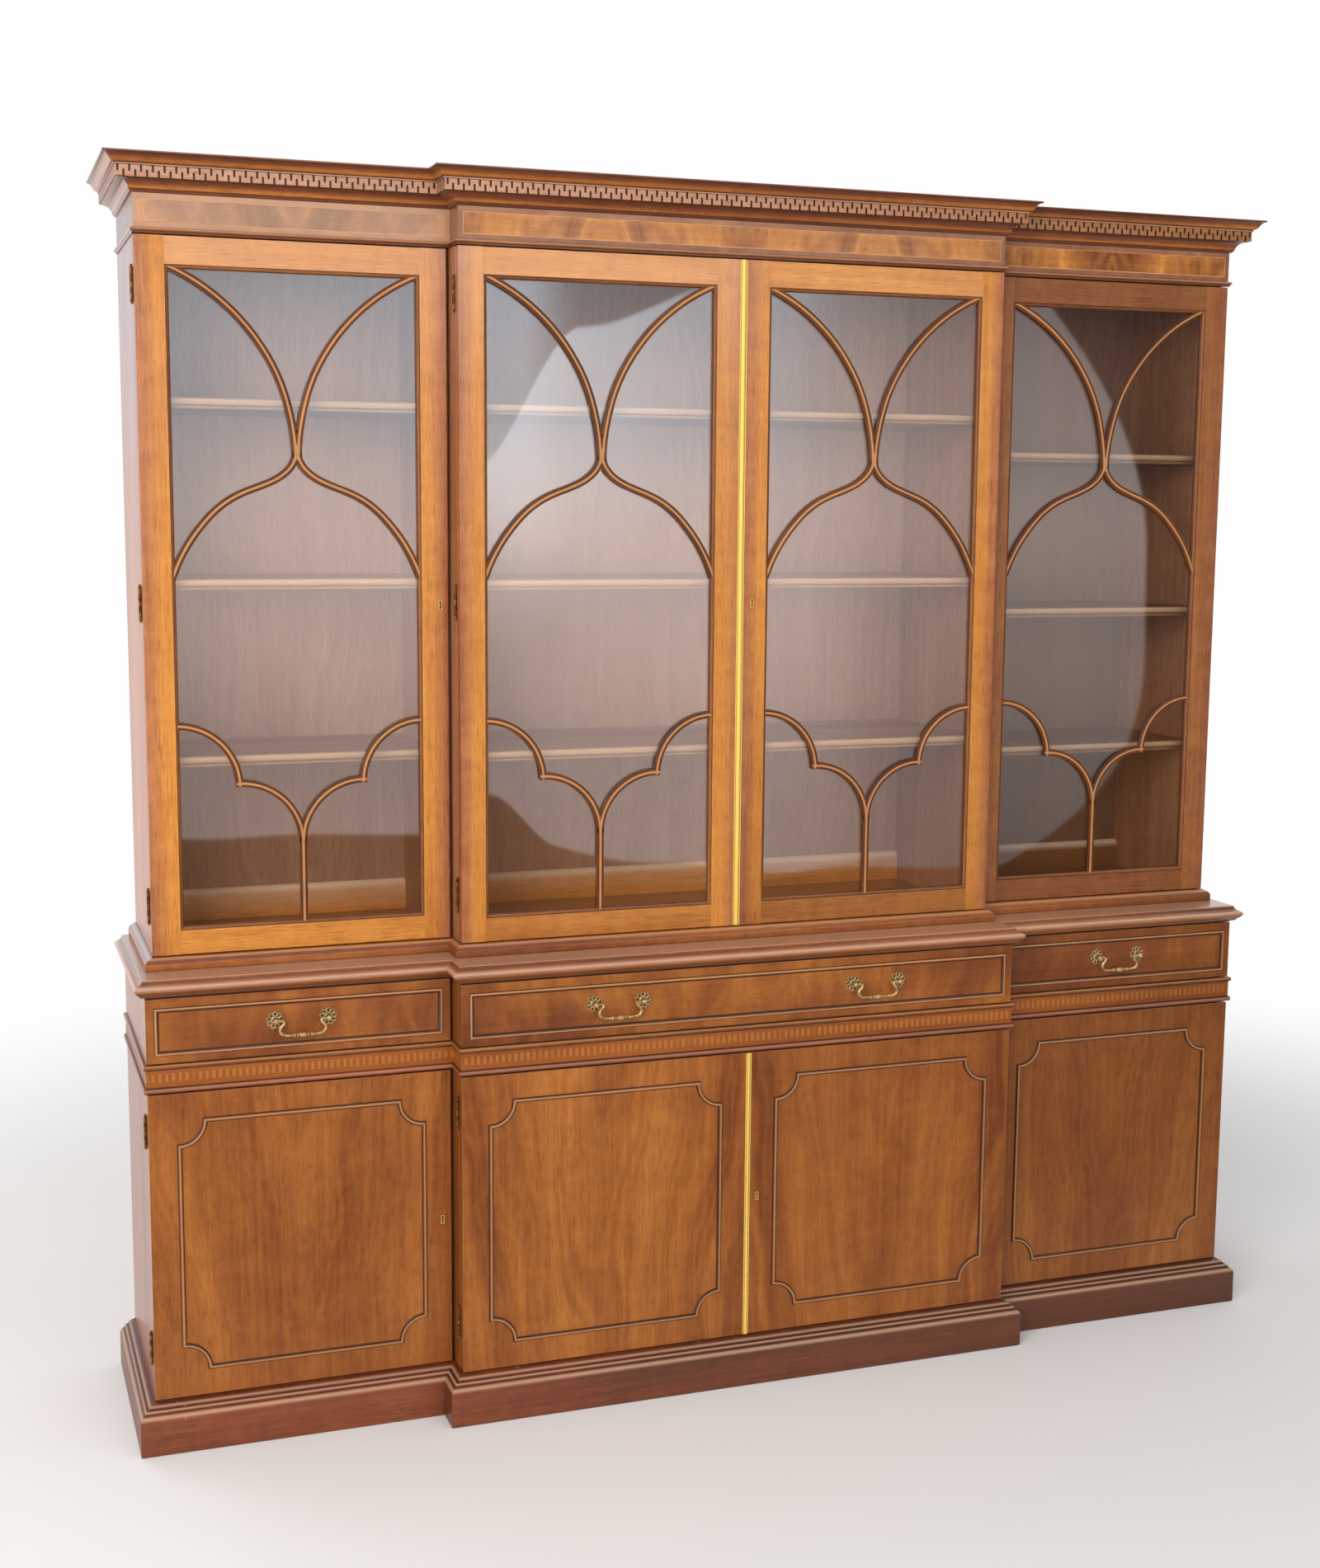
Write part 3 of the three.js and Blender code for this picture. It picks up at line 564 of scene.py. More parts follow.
class Tree:
    def __init__(self, name):
        self.m = bpy.data.materials.new(name)
        self.m.use_nodes = True
        self.nt = self.m.node_tree
        self.nt.nodes.clear()
        self.out = self.add("ShaderNodeOutputMaterial")

    def add(self, kind, **props):
        n = self.nt.nodes.new(kind)
        for k, v in props.items():
            setattr(n, k, v)
        return n

    def put(self, sock, v):
        if isinstance(v, bpy.types.NodeSocket):
            self.nt.links.new(v, sock)
        else:
            sock.default_value = v

    def attr(self, name):
        return self.add("ShaderNodeAttribute", attribute_name=name, attribute_type="GEOMETRY").outputs[
            "Vector"
        ]

    def xyz(self, v):
        n = self.add("ShaderNodeSeparateXYZ")
        self.put(n.inputs[0], v)
        return n.outputs

    def vec(self, x, y, z):
        n = self.add("ShaderNodeCombineXYZ")
        for s, v in zip(n.inputs, (x, y, z)):
            self.put(s, v)
        return n.outputs[0]

    def mul(self, v, k):
        n = self.add("ShaderNodeVectorMath", operation="MULTIPLY")
        self.put(n.inputs[0], v)
        n.inputs[1].default_value = k
        return n.outputs[0]

    def vadd(self, a, b):
        n = self.add("ShaderNodeVectorMath", operation="ADD")
        self.put(n.inputs[0], a)
        self.put(n.inputs[1], b)
        return n.outputs[0]

    def math(self, op, a, b=0.0, c=None, clamp=False):
        n = self.add("ShaderNodeMath", operation=op, use_clamp=clamp)
        self.put(n.inputs[0], a)
        self.put(n.inputs[1], b)
        if c is not None:
            self.put(n.inputs[2], c)
        return n.outputs[0]

    def noise(self, v, scale=1.0, detail=2.0, rough=0.5, dist=0.0):
        n = self.add("ShaderNodeTexNoise", noise_dimensions="3D")
        self.put(n.inputs["Vector"], v)
        n.inputs["Scale"].default_value = scale
        n.inputs["Detail"].default_value = detail
        n.inputs["Roughness"].default_value = rough
        n.inputs["Distortion"].default_value = dist
        return n.outputs["Fac"]

    def ramp(self, fac, stops, interp="LINEAR"):
        n = self.add("ShaderNodeValToRGB")
        n.color_ramp.interpolation = interp
        e = n.color_ramp.elements
        while len(e) > 1:
            e.remove(e[-1])
        e[0].position, e[0].color = stops[0][0], stops[0][1]
        for p, c in stops[1:]:
            k = e.new(p)
            k.color = c
        self.put(n.inputs[0], fac)
        return n.outputs[0]

    def step(self, v, lo, hi, a=0.0, b=1.0):
        n = self.add("ShaderNodeMapRange", interpolation_type="SMOOTHSTEP", clamp=True)
        self.put(n.inputs["Value"], v)
        n.inputs["From Min"].default_value = lo
        n.inputs["From Max"].default_value = hi
        n.inputs["To Min"].default_value = a
        n.inputs["To Max"].default_value = b
        return n.outputs["Result"]

    def mix(self, fac, a, b, blend="MIX"):
        n = self.add("ShaderNodeMix", data_type="RGBA", blend_type=blend)
        n.clamp_factor = True
        self.put(n.inputs[0], fac)
        self.put(n.inputs[6], a)
        self.put(n.inputs[7], b)
        return n.outputs[2]

    def bump(self, h, strength, dist):
        n = self.add("ShaderNodeBump")
        n.inputs["Strength"].default_value = strength
        n.inputs["Distance"].default_value = dist
        self.put(n.inputs["Height"], h)
        return n.outputs[0]

    def done(self, color, rough, normal=None, **sockets):
        s = self.add("ShaderNodeBsdfPrincipled")
        self.put(s.inputs["Base Color"], color)
        self.put(s.inputs["Roughness"], rough)
        if normal is not None:
            self.put(s.inputs["Normal"], normal)
        for k, v in sockets.items():
            s.inputs[k.replace("_", " ")].default_value = v
        self.put(self.out.inputs[0], s.outputs[0])
        return self.m


GREY = lambda v: (v, v, v, 1.0)
# dark for pores and dirt, and also for painted shade in recesses and on shaded parts; pale for wear and for painted
# highlights
DIRT_AND_SHADE = C(58, 28, 14)
WEAR_AND_HIGHLIGHT = C(236, 196, 160)


def shade_and_highlight_tone(t, color, dirt_and_shade=DIRT_AND_SHADE, wear_and_highlight=WEAR_AND_HIGHLIGHT, warm_to=None, base=None):
    """Painted shade and dirt in the corners, and painted highlight and wear on edges, from the
    painted_light_wear_warmth attribute.
    """
    tone = t.xyz(t.attr("painted_light_wear_warmth"))[0]
    color = t.mix(t.math("MULTIPLY", tone, -1.0, clamp=True), color, dirt_and_shade)
    return t.mix(t.math("MULTIPLY", tone, 1.0, clamp=True), color, wear_and_highlight)


def wood(
    name,
    cool,
    warm=None,
    weights=(0.34, 0.36, 0.18, 0.12),
    rough=(0.34, 0.46),
    coat=0.1,
    coat_rough=0.2,
    bump=0.22,
    along=(1.0, 1.0, 1.0),
    marks=0.0,
    dirt_and_shade=DIRT_AND_SHADE,
    wear_and_highlight=WEAR_AND_HIGHLIGHT,
    spec=0.3,
    contrast=2.2,
    pores=0.34,
):
    """Straight-grained timber. cool and warm are colour ramps from dark to light; the painted_light_wear_warmth
    attribute's y goes
    from one to the other. weights: broad bands, streaks, mottle across the grain, pores."""
    t = Tree(name)
    g = t.attr("grain")
    a, b, c = along
    broad = t.noise(t.mul(g, (0.9 * a, 9.0 * b, 9.0 * c)), 1.0, 2.0, 0.5, 0.6)
    streak = t.noise(t.mul(g, (2.6 * a, 95.0 * b, 95.0 * c)), 1.0, 4.0, 0.64, 0.25)
    mottle = t.noise(t.mul(g, (30.0 * a, 17.0 * b, 17.0 * c)), 1.0, 4.0, 0.62, 0.5)
    pore = t.noise(t.mul(g, (34.0 * a, 760.0 * b, 760.0 * c)), 1.0, 1.5, 0.5)
    v = t.math("MULTIPLY", broad, weights[0])
    v = t.math("MULTIPLY_ADD", streak, weights[1], v)
    v = t.math("MULTIPLY_ADD", mottle, weights[2], v)
    v = t.math("MULTIPLY_ADD", pore, weights[3], v)
    v = t.math("MULTIPLY_ADD", v, contrast, 0.5 - 0.5 * contrast, clamp=True)
    color = t.ramp(v, cool)
    fin = t.xyz(t.attr("painted_light_wear_warmth"))
    if warm is not None:
        color = t.mix(fin[1], color, t.ramp(v, warm))
    color = t.mix(t.step(pore, 0.44, 0.30, 0.0, pores), color, dirt_and_shade)
    if marks:
        # small dents and rubbed places
        s = t.noise(t.mul(g, (60.0, 95.0, 95.0)), 1.0, 4.0, 0.75, 1.2)
        big = t.noise(t.mul(g, (5.0, 7.0, 7.0)), 1.0, 1.0, 0.5)
        s = t.math("MULTIPLY", t.step(s, 0.64, 0.74), t.step(big, 0.42, 0.62))
        color = t.mix(t.math("MULTIPLY", s, marks), color, wear_and_highlight)
    # painted shade from the attribute's z; painted shade and dirt in recesses where x is below 0; painted highlight and
    # wear on edges where x is above 0
    color = t.mix(fin[2], color, dirt_and_shade)
    color = t.mix(t.math("MULTIPLY", fin[0], -1.0, clamp=True), color, dirt_and_shade)
    color = t.mix(t.math("MULTIPLY", fin[0], 1.0, clamp=True), color, wear_and_highlight)
    r = t.math("MULTIPLY_ADD", streak, rough[1] - rough[0], rough[0])
    h = t.math("MULTIPLY_ADD", pore, 0.7, streak)
    n = t.bump(h, bump, 0.0006)
    return t.done(
        color, r, n, Coat_Weight=coat, Coat_Roughness=coat_rough, Specular_IOR_Level=spec
    )


def crown(name, ramp, rough=(0.34, 0.46), coat=0.1, soft=1.0, spec=0.3, open_top=0.105, plume_amount=0.035, edge_dark=0.05):
    """Crown-cut veneer standing on end. Grain x is the height and y the distance from the middle of the leaf,
    both in metres from the middle of the panel."""
    t = Tree(name)
    g = t.attr("grain")
    x, y, z = t.xyz(g)
    wob = t.noise(t.mul(g, (2.2, 5.0, 3.0)), 1.0, 2.0, 0.5)
    wob2 = t.noise(t.mul(g, (6.0, 20.0, 5.0)), 1.0, 3.0, 0.55)
    yy = t.math("MULTIPLY_ADD", wob, 0.17, t.math("ADD", y, -0.085))
    # flame: nested arches in the middle that open downwards, straight lines at the sides
    q = t.math("SQRT", t.math("MULTIPLY_ADD", yy, yy, 0.0012))
    q = t.math("MULTIPLY_ADD", x, -open_top, q)
    q = t.math("MULTIPLY_ADD", wob2, 0.018, q)
    ringv = t.vec(q, t.math("MULTIPLY", x, 0.035), z)
    rings = t.noise(t.mul(ringv, (70.0, 26.0, 9.0)), 1.0, 4.0, 0.55)
    bands = t.noise(t.mul(ringv, (17.0, 7.0, 5.0)), 1.0, 1.5, 0.5)
    broad = t.noise(t.mul(g, (2.6, 6.5, 5.0)), 1.0, 1.5, 0.5)
    streak = t.noise(t.mul(g, (4.0, 130.0, 7.0)), 1.0, 4.0, 0.6)
    mott = t.noise(t.mul(g, (30.0, 21.0, 8.0)), 1.0, 3.0, 0.6, 0.6)
    pore = t.noise(t.mul(g, (40.0, 700.0, 9.0)), 1.0, 1.5, 0.5)
    # the plume: darker in the middle of the lower half
    ax = t.math("ABSOLUTE", yy)
    plume = t.math("MULTIPLY", t.step(ax, 0.11, 0.01), t.step(x, 0.14, -0.08))
    v = t.math("MULTIPLY", rings, 0.25)
    v = t.math("MULTIPLY_ADD", bands, 0.25, v)
    v = t.math("MULTIPLY_ADD", broad, 0.20, v)
    v = t.math("MULTIPLY_ADD", streak, 0.16, v)
    v = t.math("MULTIPLY_ADD", mott, 0.14, v)
    v = t.math("MULTIPLY_ADD", plume, -plume_amount, v)
    v = t.math("MULTIPLY_ADD", t.step(t.math("ABSOLUTE", y), 0.13, 0.235), -edge_dark, v)
    v = t.math("MULTIPLY_ADD", v, 2.3 * soft, 0.5 - 2.3 * soft * 0.48, clamp=True)
    color = t.ramp(v, ramp)
    color = t.mix(t.step(pore, 0.46, 0.30, 0.0, 0.38 * soft), color, DIRT_AND_SHADE)
    fin = t.xyz(t.attr("painted_light_wear_warmth"))
    # painted shade from the attribute's z; painted shade and dirt where x is below 0; painted highlight and wear where
    # x is above 0
    color = t.mix(fin[2], color, DIRT_AND_SHADE)
    color = t.mix(t.math("MULTIPLY", fin[0], -1.0, clamp=True), color, DIRT_AND_SHADE)
    color = t.mix(t.math("MULTIPLY", fin[0], 1.0, clamp=True), color, WEAR_AND_HIGHLIGHT)
    r = t.math("MULTIPLY_ADD", rings, rough[1] - rough[0], rough[0])
    h = t.math("MULTIPLY_ADD", pore, 0.7, streak)
    return t.done(
        color, r, t.bump(h, 0.16, 0.0005), Coat_Weight=coat, Coat_Roughness=0.2, Specular_IOR_Level=spec
    )


def figured(name, ramp, second=None, deep=None, coat=0.3, spec=0.3, contrast=1.8):
    """Mottled veneer laid along the length: short flames across the grain."""
    t = Tree(name)
    g = t.attr("grain")
    warp = t.noise(t.mul(g, (3.0, 4.0, 4.0)), 1.0, 2.0, 0.5)
    gw = t.vadd(g, t.vec(t.math("MULTIPLY", warp, 0.12), 0.0, 0.0))
    fig = t.noise(t.mul(gw, (19.0, 6.5, 5.0)), 1.0, 3.0, 0.6, 0.8)
    fine = t.noise(t.mul(gw, (70.0, 22.0, 9.0)), 1.0, 3.0, 0.6, 0.6)
    streak = t.noise(t.mul(g, (3.0, 90.0, 60.0)), 1.0, 4.0, 0.62, 0.3)
    broad = t.noise(t.mul(g, (2.4, 7.0, 5.0)), 1.0, 2.0, 0.5)
    pore = t.noise(t.mul(g, (40.0, 760.0, 500.0)), 1.0, 1.5, 0.5)
    v = t.math("MULTIPLY", fig, 0.34)
    v = t.math("MULTIPLY_ADD", fine, 0.14, v)
    v = t.math("MULTIPLY_ADD", streak, 0.18, v)
    v = t.math("MULTIPLY_ADD", broad, 0.34, v)
    v = t.math("MULTIPLY_ADD", v, contrast, 0.5 - contrast * 0.5, clamp=True)
    color = t.ramp(v, ramp)
    if deep is not None:
        color = t.mix(t.xyz(t.attr("painted_light_wear_warmth"))[1], color, t.ramp(v, deep))
    if second is not None:
        # golden flames among the browner wood
        patch = t.noise(t.mul(gw, (3.3, 4.0, 3.0)), 1.0, 2.0, 0.5, 0.3)
        color = t.mix(t.step(t.math("MULTIPLY_ADD", fig, 0.3, patch), 0.52, 0.80), color, t.ramp(v, second))
    color = t.mix(t.step(pore, 0.46, 0.30, 0.0, 0.3), color, DIRT_AND_SHADE)
    fin = t.xyz(t.attr("painted_light_wear_warmth"))
    # painted shade from the attribute's z; painted shade and dirt where x is below 0; painted highlight and wear where
    # x is above 0
    color = t.mix(fin[2], color, DIRT_AND_SHADE)
    color = t.mix(t.math("MULTIPLY", fin[0], -1.0, clamp=True), color, DIRT_AND_SHADE)
    color = t.mix(t.math("MULTIPLY", fin[0], 1.0, clamp=True), color, WEAR_AND_HIGHLIGHT)
    r = t.math("MULTIPLY_ADD", streak, 0.12, 0.3)
    h = t.math("MULTIPLY_ADD", pore, 0.7, streak)
    return t.done(
        color, r, t.bump(h, 0.16, 0.0005), Coat_Weight=coat, Coat_Roughness=0.2, Specular_IOR_Level=spec
    )


def inlay(name, ground, light, z0, z1):
    """The band between cupboards and drawers: soft upright lights let into a brown ground.
    Grain x is the run along the band and y the height, in metres."""
    t = Tree(name)
    x, y, z = t.xyz(t.attr("grain"))
    v = t.vec(x, y, z)
    wob = t.noise(t.mul(v, (60.0, 90.0, 0.0)), 1.0, 2.0, 0.5)
    cell = t.math("MULTIPLY", x, 1.0 / 0.0103)
    ident = t.math("FLOOR", cell)
    rnd = t.noise(t.mul(t.vec(ident, 0.0, 4.0), (7.13, 1.0, 1.0)), 1.0, 0.0, 0.5)
    fr = t.math("ABSOLUTE", t.math("SUBTRACT", t.math("FRACT", cell), 0.5))
    fr = t.math("MULTIPLY_ADD", wob, 0.18, t.math("ADD", fr, -0.09))
    col = t.step(fr, 0.30, 0.16)
    zc = (z0 + z1) / 2 + 0.0012
    dz = t.math("ABSOLUTE", t.math("SUBTRACT", y, zc))
    dz = t.math("MULTIPLY_ADD", rnd, 0.006, t.math("ADD", dz, -0.003))
    rows = t.step(dz, 0.0082, 0.0052)
    block = t.math("MULTIPLY", col, rows)
    block = t.math("MULTIPLY", block, t.step(rnd, 0.22, 0.52, 0.35, 1.0))
    streak = t.noise(t.mul(v, (30.0, 420.0, 1.0)), 1.0, 3.0, 0.6)
    broad = t.noise(t.mul(v, (2.0, 30.0, 1.0)), 1.0, 2.0, 0.5)
    g = t.ramp(t.math("MULTIPLY_ADD", broad, 0.6, t.math("MULTIPLY", streak, 0.4)), ground)
    color = t.mix(t.math("MULTIPLY", block, 0.62), g, light)
    fin = t.xyz(t.attr("painted_light_wear_warmth"))
    # painted shade from the attribute's z, and painted shade and dirt where x is below 0
    color = t.mix(fin[2], color, DIRT_AND_SHADE)
    color = t.mix(t.math("MULTIPLY", fin[0], -1.0, clamp=True), color, DIRT_AND_SHADE)
    return t.done(
        color, t.math("MULTIPLY_ADD", streak, 0.1, 0.34), t.bump(block, 0.12, 0.0002),
        Coat_Weight=0.1, Coat_Roughness=0.2, Specular_IOR_Level=0.3,
    )


def brass(name, base, dark, rough=(0.2, 0.34), patina=0.35, scale=1.0, metallic=1.0):
    t = Tree(name)
    g = t.attr("grain")
    n1 = t.noise(t.mul(g, (30.0 * scale, 30.0 * scale, 30.0 * scale)), 1.0, 4.0, 0.6, 0.4)
    n2 = t.noise(t.mul(g, (900.0, 900.0, 900.0)), 1.0, 2.0, 0.5)
    n3 = t.noise(t.mul(g, (5.0, 160.0, 160.0)), 1.0, 3.0, 0.6)
    color = t.mix(t.step(n1, 0.4, 0.68, 0.0, patina), base, dark)
    color = t.mix(t.step(n3, 0.55, 0.75, 0.0, patina * 0.5), color, dark)
    tone = t.xyz(t.attr("painted_light_wear_warmth"))[0]
    color = t.mix(t.math("MULTIPLY", tone, -1.0, clamp=True), color, C(60, 40, 20))
    r = t.math("MULTIPLY_ADD", n1, rough[1] - rough[0], rough[0])
    r = t.math("MULTIPLY_ADD", t.math("MULTIPLY", tone, -1.0, clamp=True), 0.35, r)
    return t.done(color, r, t.bump(n2, 0.06, 0.0002), Metallic=metallic)


def glass(name):
    t = Tree(name)
    g = t.add("ShaderNodeTexCoord").outputs["Object"]
    smear = t.noise(t.mul(g, (1.6, 1.0, 2.4)), 1.0, 3.0, 0.6, 0.8)
    lw = t.add("ShaderNodeLayerWeight")
    lw.inputs["Blend"].default_value = 0.5
    fr = t.math("POWER", lw.outputs["Facing"], 5.0)
    fr = t.math("MULTIPLY_ADD", fr, 0.91, 0.09)
    gl = t.add("ShaderNodeBsdfGlossy")
    gl.inputs["Color"].default_value = (0.99, 0.99, 1.0, 1.0)
    t.put(gl.inputs["Roughness"], t.math("MULTIPLY_ADD", smear, 0.018, 0.006))
    tr = t.add("ShaderNodeBsdfTransparent")
    tr.inputs["Color"].default_value = (0.975, 0.98, 0.975, 1.0)
    mx = t.add("ShaderNodeMixShader")
    t.put(mx.inputs[0], t.math("MULTIPLY_ADD", smear, 0.03, fr, clamp=True))
    t.nt.links.new(tr.outputs[0], mx.inputs[1])
    t.nt.links.new(gl.outputs[0], mx.inputs[2])
    t.put(t.out.inputs[0], mx.outputs[0])
    return t.m


K = 1.25
M_FRAME = wood(
    "mahogany_frame",
    cool=[(0.0, C(114, 56, 28, K)), (0.35, C(158, 88, 50, K)), (0.65, C(188, 116, 70, K)), (1.0, C(212, 148, 100, K))],
    warm=[(0.0, C(160, 90, 26, K)), (0.35, C(200, 122, 36, K)), (0.65, C(222, 146, 52, K)), (1.0, C(238, 174, 84, K))],
    weights=(0.32, 0.30, 0.24, 0.14),
    contrast=2.3,
    coat=0.3,
    coat_rough=0.3,
    wear_and_highlight=C(232, 196, 174),
    marks=0.25,
)
M_SIDE = wood(
    "mahogany_side",
    cool=[(0.0, C(110, 50, 28, K)), (0.35, C(150, 80, 48, K)), (0.65, C(178, 104, 66, K)), (1.0, C(204, 136, 96, K))],
    weights=(0.36, 0.30, 0.16, 0.18),
    rough=(0.26, 0.36),
    coat=0.3,
    coat_rough=0.12,
    marks=0.2,
)
M_DARK = wood(
    "mahogany_dark",
    cool=[(0.0, C(66, 26, 12, K)), (0.4, C(114, 50, 24, K)), (0.7, C(148, 72, 34, K)), (1.0, C(180, 98, 52, K))],
    weights=(0.3, 0.34, 0.16, 0.2),
    coat=0.15,
    coat_rough=0.26,
    marks=0.5,
)
M_PLINTH = wood(
    "mahogany_plinth",
    cool=[(0.0, C(60, 23, 11, K)), (0.4, C(104, 44, 20, K)), (0.7, C(135, 63, 29, K)), (1.0, C(165, 87, 45, K))],
    weights=(0.3, 0.34, 0.16, 0.2),
    coat=0.12,
    coat_rough=0.26,
    marks=0.5,
)
M_MOULD = wood(
    "mahogany_moulding",
    cool=[(0.0, C(72, 32, 16, K)), (0.4, C(112, 56, 30, K)), (0.7, C(142, 78, 44, K)), (1.0, C(176, 108, 68, K))],
    warm=[(0.0, C(128, 66, 18, K)), (0.4, C(172, 96, 28, K)), (0.7, C(202, 124, 42, K)), (1.0, C(226, 156, 72, K))],
    weights=(0.32, 0.36, 0.16, 0.16),
    coat=0.7,
    coat_rough=0.16,
    marks=0.4,
    wear_and_highlight=C(236, 194, 166),
)
M_FASCIA = wood(
    "mahogany_fascia",
    cool=[(0.0, C(96, 46, 20, K)), (0.4, C(146, 80, 36, K)), (0.7, C(180, 106, 50, K)), (1.0, C(208, 138, 80, K))],
    weights=(0.4, 0.26, 0.24, 0.1),
    marks=0.2,
)
M_FRET = wood(
    "mahogany_fret",
    cool=[(0.0, C(168, 116, 92, K)), (0.4, C(192, 140, 112, K)), (0.7, C(206, 156, 128, K)), (1.0, C(220, 174, 148, K))],
    warm=[(0.0, C(132, 80, 46, K)), (0.4, C(160, 104, 62, K)), (0.7, C(178, 122, 78, K)), (1.0, C(196, 142, 98, K))],
    weights=(0.3, 0.3, 0.2, 0.2),
    dirt_and_shade=C(34, 15, 8),
)
M_BEAD = wood(
    "mahogany_bead",
    cool=[(0.0, C(72, 34, 14, K)), (0.4, C(114, 60, 26, K)), (0.7, C(144, 82, 38, K)), (1.0, C(174, 108, 56, K))],
    weights=(0.32, 0.36, 0.16, 0.16),
    coat=0.5,
    coat_rough=0.2,
    marks=0.2,
    dirt_and_shade=C(40, 18, 8),
    wear_and_highlight=C(238, 184, 122),
)
M_TRACERY = wood(
    "mahogany_tracery",
    cool=[(0.0, C(88, 42, 16, K)), (0.4, C(132, 70, 28, K)), (0.7, C(164, 96, 42, K)), (1.0, C(196, 128, 66, K))],
    weights=(0.32, 0.36, 0.16, 0.16),
    coat=0.5,
    coat_rough=0.2,
    marks=0.15,
    dirt_and_shade=C(40, 18, 8),
    wear_and_highlight=C(240, 184, 120),
)
M_INSIDE = wood(
    "mahogany_inside",
    cool=[(0.0, C(134, 82, 52, K)), (0.4, C(172, 112, 76, K)), (0.7, C(196, 136, 96, K)), (1.0, C(216, 160, 120, K))],
    weights=(0.4, 0.3, 0.12, 0.18),
    rough=(0.5, 0.62),
    coat=0.0,
    bump=0.25,
)
M_BACK = crown(
    "mahogany_back",
    [(0.0, C(160, 102, 76, K)), (0.4, C(202, 146, 114, K)), (0.7, C(220, 168, 134, K)), (1.0, C(236, 192, 158, K))],
    rough=(0.5, 0.6), coat=0.0, soft=0.8, open_top=0.05, plume_amount=0.05, edge_dark=0.0,
)
# painted light: the skirting behind the shelves is drawn a brighter gold than the timber, standing in for light that
# hardly reaches it; its pale is a painted highlight
M_SKIRT_PAINTED_LIGHT = wood(
    "skirting_inside_painted_bright",
    cool=[(0.0, C(186, 98, 30, K)), (0.35, C(228, 132, 46, K)), (0.65, C(244, 156, 66, K)), (1.0, C(250, 188, 106, K))],
    weights=(0.4, 0.3, 0.2, 0.1),
    rough=(0.4, 0.5),
    coat=0.0,
    wear_and_highlight=C(248, 220, 190),
)
M_EDGE = wood(
    "shelf_edge",
    cool=[(0.0, C(140, 92, 54, K)), (0.4, C(176, 124, 80, K)), (0.7, C(200, 150, 104, K)), (1.0, C(222, 178, 132, K))],
    weights=(0.34, 0.36, 0.12, 0.18),
    rough=(0.4, 0.5),
    coat=0.1,
    dirt_and_shade=C(64, 34, 18),
)
M_BOX = wood(
    "drawer_timber",
    cool=[(0.0, C(150, 112, 74, K)), (0.4, C(182, 144, 100, K)), (0.7, C(204, 168, 122, K)), (1.0, C(222, 190, 148, K))],
    weights=(0.36, 0.38, 0.1, 0.16),
    rough=(0.55, 0.7),
    coat=0.0,
    bump=0.35,
)
M_CROWN = crown(
    "figured_veneer_door",
    [(0.0, C(86, 38, 10, K)), (0.28, C(130, 68, 22, K)), (0.55, C(166, 96, 36, K)), (0.8, C(194, 120, 50, K)), (1.0, C(218, 148, 74, K))],
    soft=0.92,
)
M_FIG = figured(
    "figured_veneer_drawer",
    [(0.0, C(78, 34, 10, K)), (0.3, C(120, 60, 20, K)), (0.6, C(154, 84, 32, K)), (0.85, C(180, 106, 44, K)), (1.0, C(204, 134, 66, K))],
    [(0.0, C(112, 58, 16, K)), (0.3, C(152, 84, 26, K)), (0.6, C(184, 110, 38, K)), (0.85, C(206, 132, 52, K)), (1.0, C(224, 158, 80, K))],
)
M_FRIEZE = figured(
    "frieze_veneer",
    [(0.0, C(82, 46, 32, K)), (0.35, C(122, 76, 56, K)), (0.65, C(150, 100, 76, K)), (1.0, C(180, 130, 100, K))],
    [(0.0, C(146, 80, 28, K)), (0.35, C(186, 110, 42, K)), (0.65, C(214, 140, 60, K)), (1.0, C(234, 170, 90, K))],
    deep=[(0.0, C(62, 28, 12, K)), (0.35, C(104, 54, 26, K)), (0.65, C(142, 80, 38, K)), (1.0, C(180, 112, 58, K))],
    coat=0.4,
    contrast=3.6,
)
M_INLAY = inlay(
    "inlaid_band",
    [(0.2, C(134, 68, 20, K)), (0.5, C(182, 98, 32, K)), (0.8, C(210, 124, 46, K))],
    C(228, 148, 62, K),
    0.5900,
    0.6170,
)
M_BORDER = figured(
    "frieze_border",
    [(0.0, C(92, 50, 32, K)), (0.35, C(134, 84, 60, K)), (0.65, C(164, 110, 80, K)), (1.0, C(194, 142, 108, K))],
)
M_STRING = wood(
    "boxwood_line",
    cool=[(0.0, C(196, 132, 74, K)), (1.0, C(234, 178, 116, K))],
    weights=(0.3, 0.4, 0.1, 0.2),
    bump=0.05,
)
M_BRASS = brass("polished_brass", C(252, 210, 104), C(242, 192, 86), rough=(0.24, 0.30), patina=0.06, metallic=0.3)
M_AGED = brass("antique_brass", C(240, 204, 142), C(78, 48, 26), rough=(0.2, 0.36), patina=0.6, scale=4.0, metallic=0.8)
M_HINGE = brass("bronzed_brass", C(176, 126, 70), C(64, 42, 26), rough=(0.26, 0.42), patina=0.95, scale=6.0, metallic=0.8)
M_GLASS = glass("clear_glass")
# painted shade: the dark inside of the keyhole
M_HOLE_SHADE = wood(
    "keyhole_painted_shade",
    cool=[(0.0, C(20, 12, 8)), (1.0, C(44, 28, 18))],
    coat=0.0,
    rough=(0.6, 0.7),
)


# ------------------------------------------------------------------ the case
LFW, LFC = LOW["yw"] + DOOR_T + 0.5, LOW["yc"] + DOOR_T + 0.5
UFW, UFC = UPP["yw"] + DOOR_T + 0.5, UPP["yc"] + DOOR_T + 0.5


def smooth01(t):
    t = np.clip(t, 0, 1)
    return t * t * (3 - 2 * t)


def mirror(s, a, b):
    return (-b, -a) if s < 0 else (a, b)


def duller_right(amount):
    """The right wing stands further from the light and is darker."""
    return lambda P: amount * smooth01((np.asarray(P, float)[..., 0] - 490.0) / 60.0)


